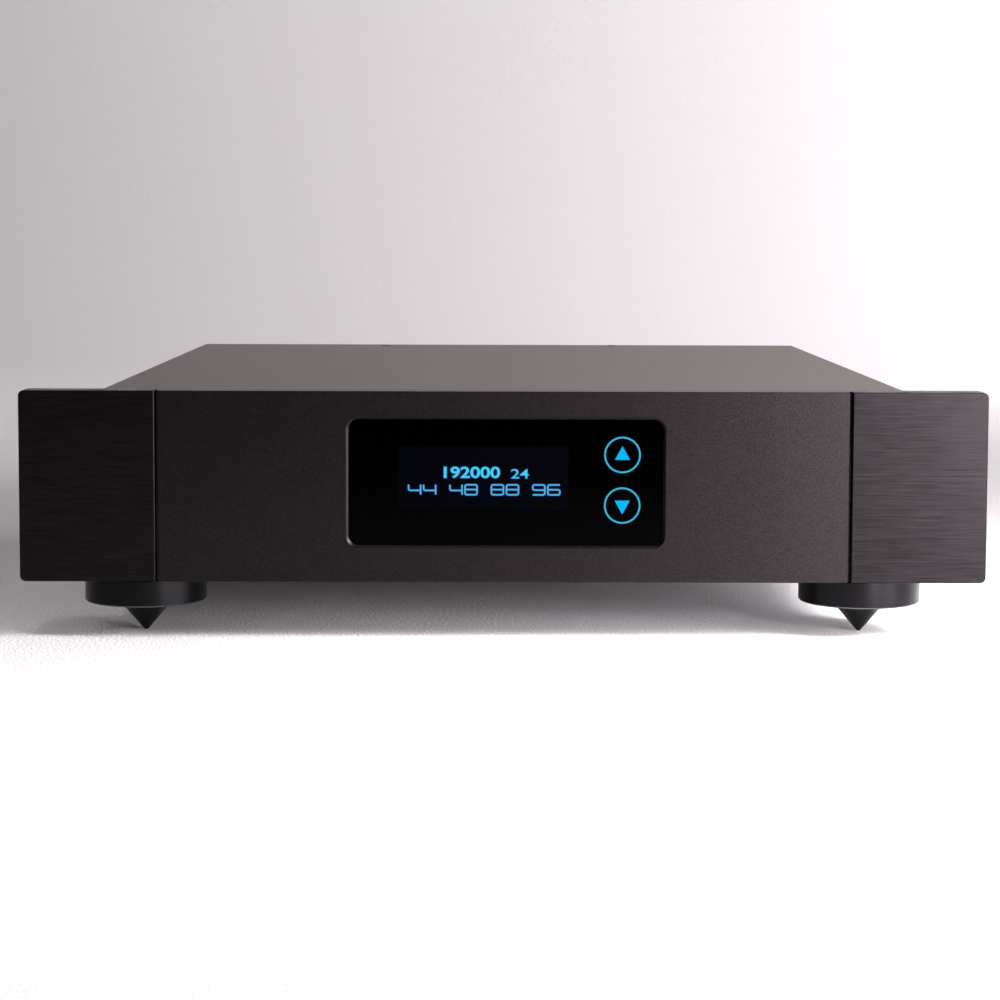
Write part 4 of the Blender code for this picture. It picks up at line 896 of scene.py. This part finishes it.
def rocker_cap():
    """Rocker with softened edges and a V across its face, marked with a bar and a ring."""
    bm = cuboid(ROCKER_SIZE, (0, ROCKER_FORWARD, 0))
    front_sides = []
    for edge in bm.edges:
        first, last = (vert.co for vert in edge.verts)
        if min(first.y, last.y) > 0 and abs(first.z - last.z) > MM:
            front_sides.append(edge)
    bmesh.ops.subdivide_edges(bm, edges=front_sides, cuts=1, use_grid_fill=True)
    for vert in bm.verts:
        if vert.co.y > 0 and abs(vert.co.z) < MM:
            vert.co.y -= ROCKER_DIP * MM
    bevel(bm, ROCKER_SOFT, 3, lambda d, m: m.y > 3.5 and abs(m.z) > 0.01)
    bm.normal_update()
    face = BVHTree.FromBMesh(bm)
    ring = [(RING, PRINT / 2), (RING, -PRINT / 2), (RING_HOLE, -PRINT / 2), (RING_HOLE, PRINT / 2)]
    bar_width, bar_height = BAR
    bar_mark = cuboid((bar_width, PRINT, bar_height))
    ring_mark = turned(ring, (0, 0, 0), "y", SMALL_ROUND, closed=True)
    marks = bmesh.new()
    for height, mark in ((MARK_HEIGHT, bar_mark), (-MARK_HEIGHT, ring_mark)):
        start = Vector((0, CLEAR_OF_CAP, height)) * MM
        spot, normal = face.ray_cast(start, Vector((0, -1, 0)))[:2]
        turn = Vector((0, 1, 0)).rotation_difference(normal).to_matrix().to_4x4()
        spot += normal * PRINT * MM / 2
        bmesh.ops.transform(mark, matrix=Matrix.Translation(spot) @ turn, verts=mark.verts)
        marks.from_mesh(mesh_from("mark", mark))
    pivot = Matrix.Translation(joint("rocker_tilt")["pos_m"])
    for shape in (bm, marks):
        bmesh.ops.transform(shape, matrix=pivot @ Matrix.Rotation(ROCKER_TILT, 4, "X"), verts=shape.verts)
    piece("rocker_cap", mesh_from("rocker_cap", bm), "black_plastic", body="power_rocker",
          stands_for=["power_rocker"])
    piece("rocker_marks", mesh_from("rocker_marks", marks), "white_print", "power_rocker")


def panel_print():
    """Fine frames round the inputs and the outputs on the rear panel."""
    high, middle = extent("rear_panel")[1:]
    lines = bmesh.new()
    for left, right in FRAMES:
        width = right - left
        centre = ((left + right) / 2, middle.z)
        outer = rounded_rectangle(width, FRAME_HEIGHT, FRAME_RADIUS, centre)
        inner = rounded_rectangle(
            width - 2 * FRAME_LINE, FRAME_HEIGHT - 2 * FRAME_LINE, FRAME_RADIUS - FRAME_LINE, centre)
        rims = []
        for y in (high.y, high.y + PRINT):
            for outline in (outer, inner):
                rims.append([lines.verts.new(Vector((x, y, z)) * MM) for x, z in outline])
        near_outer, near_inner, far_outer, far_inner = rims
        for i in range(len(outer)):
            lines.faces.new((far_outer[i - 1], far_outer[i], far_inner[i], far_inner[i - 1]))
            lines.faces.new((near_outer[i - 1], near_inner[i - 1], near_inner[i], near_outer[i]))
            lines.faces.new((near_outer[i - 1], near_outer[i], far_outer[i], far_outer[i - 1]))
            lines.faces.new((near_inner[i - 1], far_inner[i - 1], far_inner[i], near_inner[i]))
    piece("panel_frames", mesh_from("panel_frames", lines), "white_print")


# ---------------------------------------------------------------- inside
def taken_places(node, bottom, top):
    """Plan rectangles, (x, y, width, depth), of the nodes that stand between two heights on a board."""
    places = []
    for name in frame["nodes"]:
        low, high, middle = extent(name)
        if name not in (node, "top_cover", "base_tray") and low.z < top and high.z > bottom:
            places.append((middle.x, middle.y, high.x - low.x, high.y - low.y))
    return places


def overlaps(first, second):
    """True if two plan rectangles come nearer than the space a part needs."""
    across = abs(first[0] - second[0]) < (first[2] + second[2]) / 2 + PART_SPACE
    along = abs(first[1] - second[1]) < (first[3] + second[3]) / 2 + PART_SPACE
    return across and along


def small_parts(node, count, seed):
    """Chips and passive parts strewn square on the free places of a board."""
    draw = random.Random(seed)
    low, high = extent(node)[:2]
    mesh = frame["nodes"][node].data
    tree = BVHTree.FromPolygons([v.co for v in mesh.vertices], [p.vertices for p in mesh.polygons])
    top = low.z + BOARD_THICKNESS
    taken = taken_places(node, top, top + 2)
    parts = bmesh.new()
    for _ in range(count):
        x = draw.uniform(low.x + BOARD_RIM, high.x - BOARD_RIM)
        y = draw.uniform(low.y + BOARD_RIM, high.y - BOARD_RIM)
        width, depth, height = draw.choice(PART_SIZES)
        place = (x, y, width, depth)
        clear = not any(overlaps(place, other) for other in taken)
        for corner in ((x + i * width, y + j * depth) for i in (-1, 1) for j in (-1, 1)):
            hit = tree.ray_cast(Vector((*corner, high.z + 5)) * MM, Vector((0, 0, -1)))[0]
            clear = clear and hit is not None and abs(hit.z / MM - top) < 0.05
        if clear:
            taken.append(place)
            cuboid((width, depth, height), (x, y, top + height / 2 + 0.02), parts)
    piece(f"{node}_parts", mesh_from(node, parts), "component")


# ---------------------------------------------------------------- stage
def stage_sweep():
    """Pale floor that curves up into a backdrop behind the object, with a fine leather-like grain."""
    bend = BACKDROP_BEND
    path = [(FLOOR_NEAR, 0.0)]
    path += arc((FLOOR_FAR - bend, bend), bend, 270, 360, 24)
    path.append((FLOOR_FAR, BACKDROP_HEIGHT))
    bm = bmesh.new()
    rows = []
    for y, z in path:
        rows.append([bm.verts.new(Vector((x, y, z)) * MM) for x in (-FLOOR_HALF, FLOOR_HALF)])
    for (a, b), (c, d) in zip(rows, rows[1:]):
        bm.faces.new((a, b, d, c))
    mesh = bpy.data.meshes.new("floor")
    bm.to_mesh(mesh)
    bm.free()
    mesh.shade_smooth()
    floor = add_object("floor", mesh)
    finish = surface("floor", (0.80, 0.78, 0.79), 0.62, grain=620, depth=0.45, contrast=0.03)
    mesh.materials.append(finish)


def softbox(name, place, aim, size, power, colour, spread=180):
    """A rectangular lamp of some watts at place that faces aim, in metres. spread is in degrees."""
    data = bpy.data.lights.new(name, "AREA")
    data.shape = "RECTANGLE"
    data.size, data.size_y = size
    data.spread = math.radians(spread)
    data.energy = power
    data.color = colour
    lamp = add_object(name, data)
    lamp.location = place
    lamp.rotation_euler = (Vector(aim) - Vector(place)).to_track_quat("-Z", "Y").to_euler()


def make_lights():
    """Narrow lamps near the right of the front, broad ones above and behind, and a dim world."""
    softbox("right_of_front", (0.42, -0.40, 0.16), (0.12, -0.20, 0.07), (0.12, 0.30), 3.5, COOL)
    softbox("right_above", (0.45, -0.34, 0.30), (0.14, -0.20, 0.07), (0.15, 0.20), 8.2, COOL)
    softbox("right_low", (0.36, -0.70, 0.12), (0.15, -0.20, 0.07), (0.08, 0.20), 3.6, COOL)
    softbox("front_floor", (-0.35, -0.90, 1.50), (-0.25, -0.42, 0.0), (0.4, 0.3), 0.30, WARM, spread=30)
    softbox("foreground", (-0.15, -0.75, 0.90), (-0.15, -0.58, 0.0), (0.7, 0.25), 0.5, WARM, spread=40)
    softbox("overhead", (0.0, 0.1, 1.9), (0.0, 0.1, 0.0), (1.6, 1.6), 6.8, WARM)
    softbox("right_behind", (1.0, 0.6, 0.7), (0.0, 0.0, 0.0), (0.8, 0.8), 2.8, WARM)
    softbox("backdrop_right", (1.3, 1.3, 0.9), (0.5, 2.4, 0.2), (0.8, 0.8), 24.5, COOL)
    softbox("backdrop_left", (-0.6, 1.0, 1.6), (-0.2, 2.3, 0.35), (1.0, 1.0), 8.0, COOL)
    world = bpy.data.worlds.new("studio")
    world.use_nodes = True
    nodes = world.node_tree.nodes
    background = nodes["Background"]
    background.inputs["Color"].default_value = WORLD_COLOUR
    path = nodes.new("ShaderNodeLightPath")
    strength = nodes.new("ShaderNodeMapRange")
    strength.inputs["To Min"].default_value = WORLD_LIGHT
    strength.inputs["To Max"].default_value = WORLD_SEEN
    link(world, path.outputs["Is Camera Ray"], strength.inputs["Value"])
    link(world, strength.outputs["Result"], background.inputs["Strength"])
    bpy.context.scene.world = world
    bpy.context.scene.view_settings.view_transform = "Standard"


def make_camera():
    """A long lens 1.25 m away, a little above the object and nearly square on."""
    level_part, fall = math.cos(CAMERA_PITCH), math.sin(CAMERA_PITCH)
    forward = Vector((math.sin(CAMERA_YAW) * level_part, math.cos(CAMERA_YAW) * level_part, -fall))
    level = forward.cross(Vector((0, 0, 1))).normalized()
    upright = level.cross(forward)
    right = level * math.cos(CAMERA_ROLL) + upright * math.sin(CAMERA_ROLL)
    up = upright * math.cos(CAMERA_ROLL) - level * math.sin(CAMERA_ROLL)
    data = bpy.data.cameras.new("camera")
    data.sensor_width = CAMERA_SENSOR
    data.lens = CAMERA_LENS
    data.shift_y = CAMERA_SHIFT
    camera = add_object("camera", data)
    turn = Matrix((right, up, -forward)).transposed().to_4x4()
    camera.matrix_world = Matrix.Translation(CAMERA_PLACE * MM) @ turn
    bpy.context.scene.camera = camera


# ---------------------------------------------------------------- assembly
finishes = make_finishes()
for node in frame["nodes"].values():
    slot = node.data.materials[0].name
    node.data.materials[0] = finishes[slot]

fascia_plate()
for side in (-1, 1):
    cheek_plate(side)
lit_marks()
cover_shell()
for where in ("left", "right"):
    hex_screw(f"cover_screw_{where}", "z")
    hex_screw(f"panel_screw_{where}", "y")
for where in ("front_left", "front_right", "back_left", "back_right"):
    foot_puck(where)
    foot_cone(where)
xlr_male("xlr_output_left")
xlr_male("xlr_output_right")
xlr_female()
rca_socket("rca_input", "orange_plastic")
rca_socket("rca_output_left", "white_plastic")
rca_socket("rca_output_right", "red_plastic")
usb_tongue()
mains_blades()
rocker_cap()
panel_print()
small_parts("main_board", 260, 11)
small_parts("power_board", 120, 12)
stage_sweep()
make_lights()
make_camera()
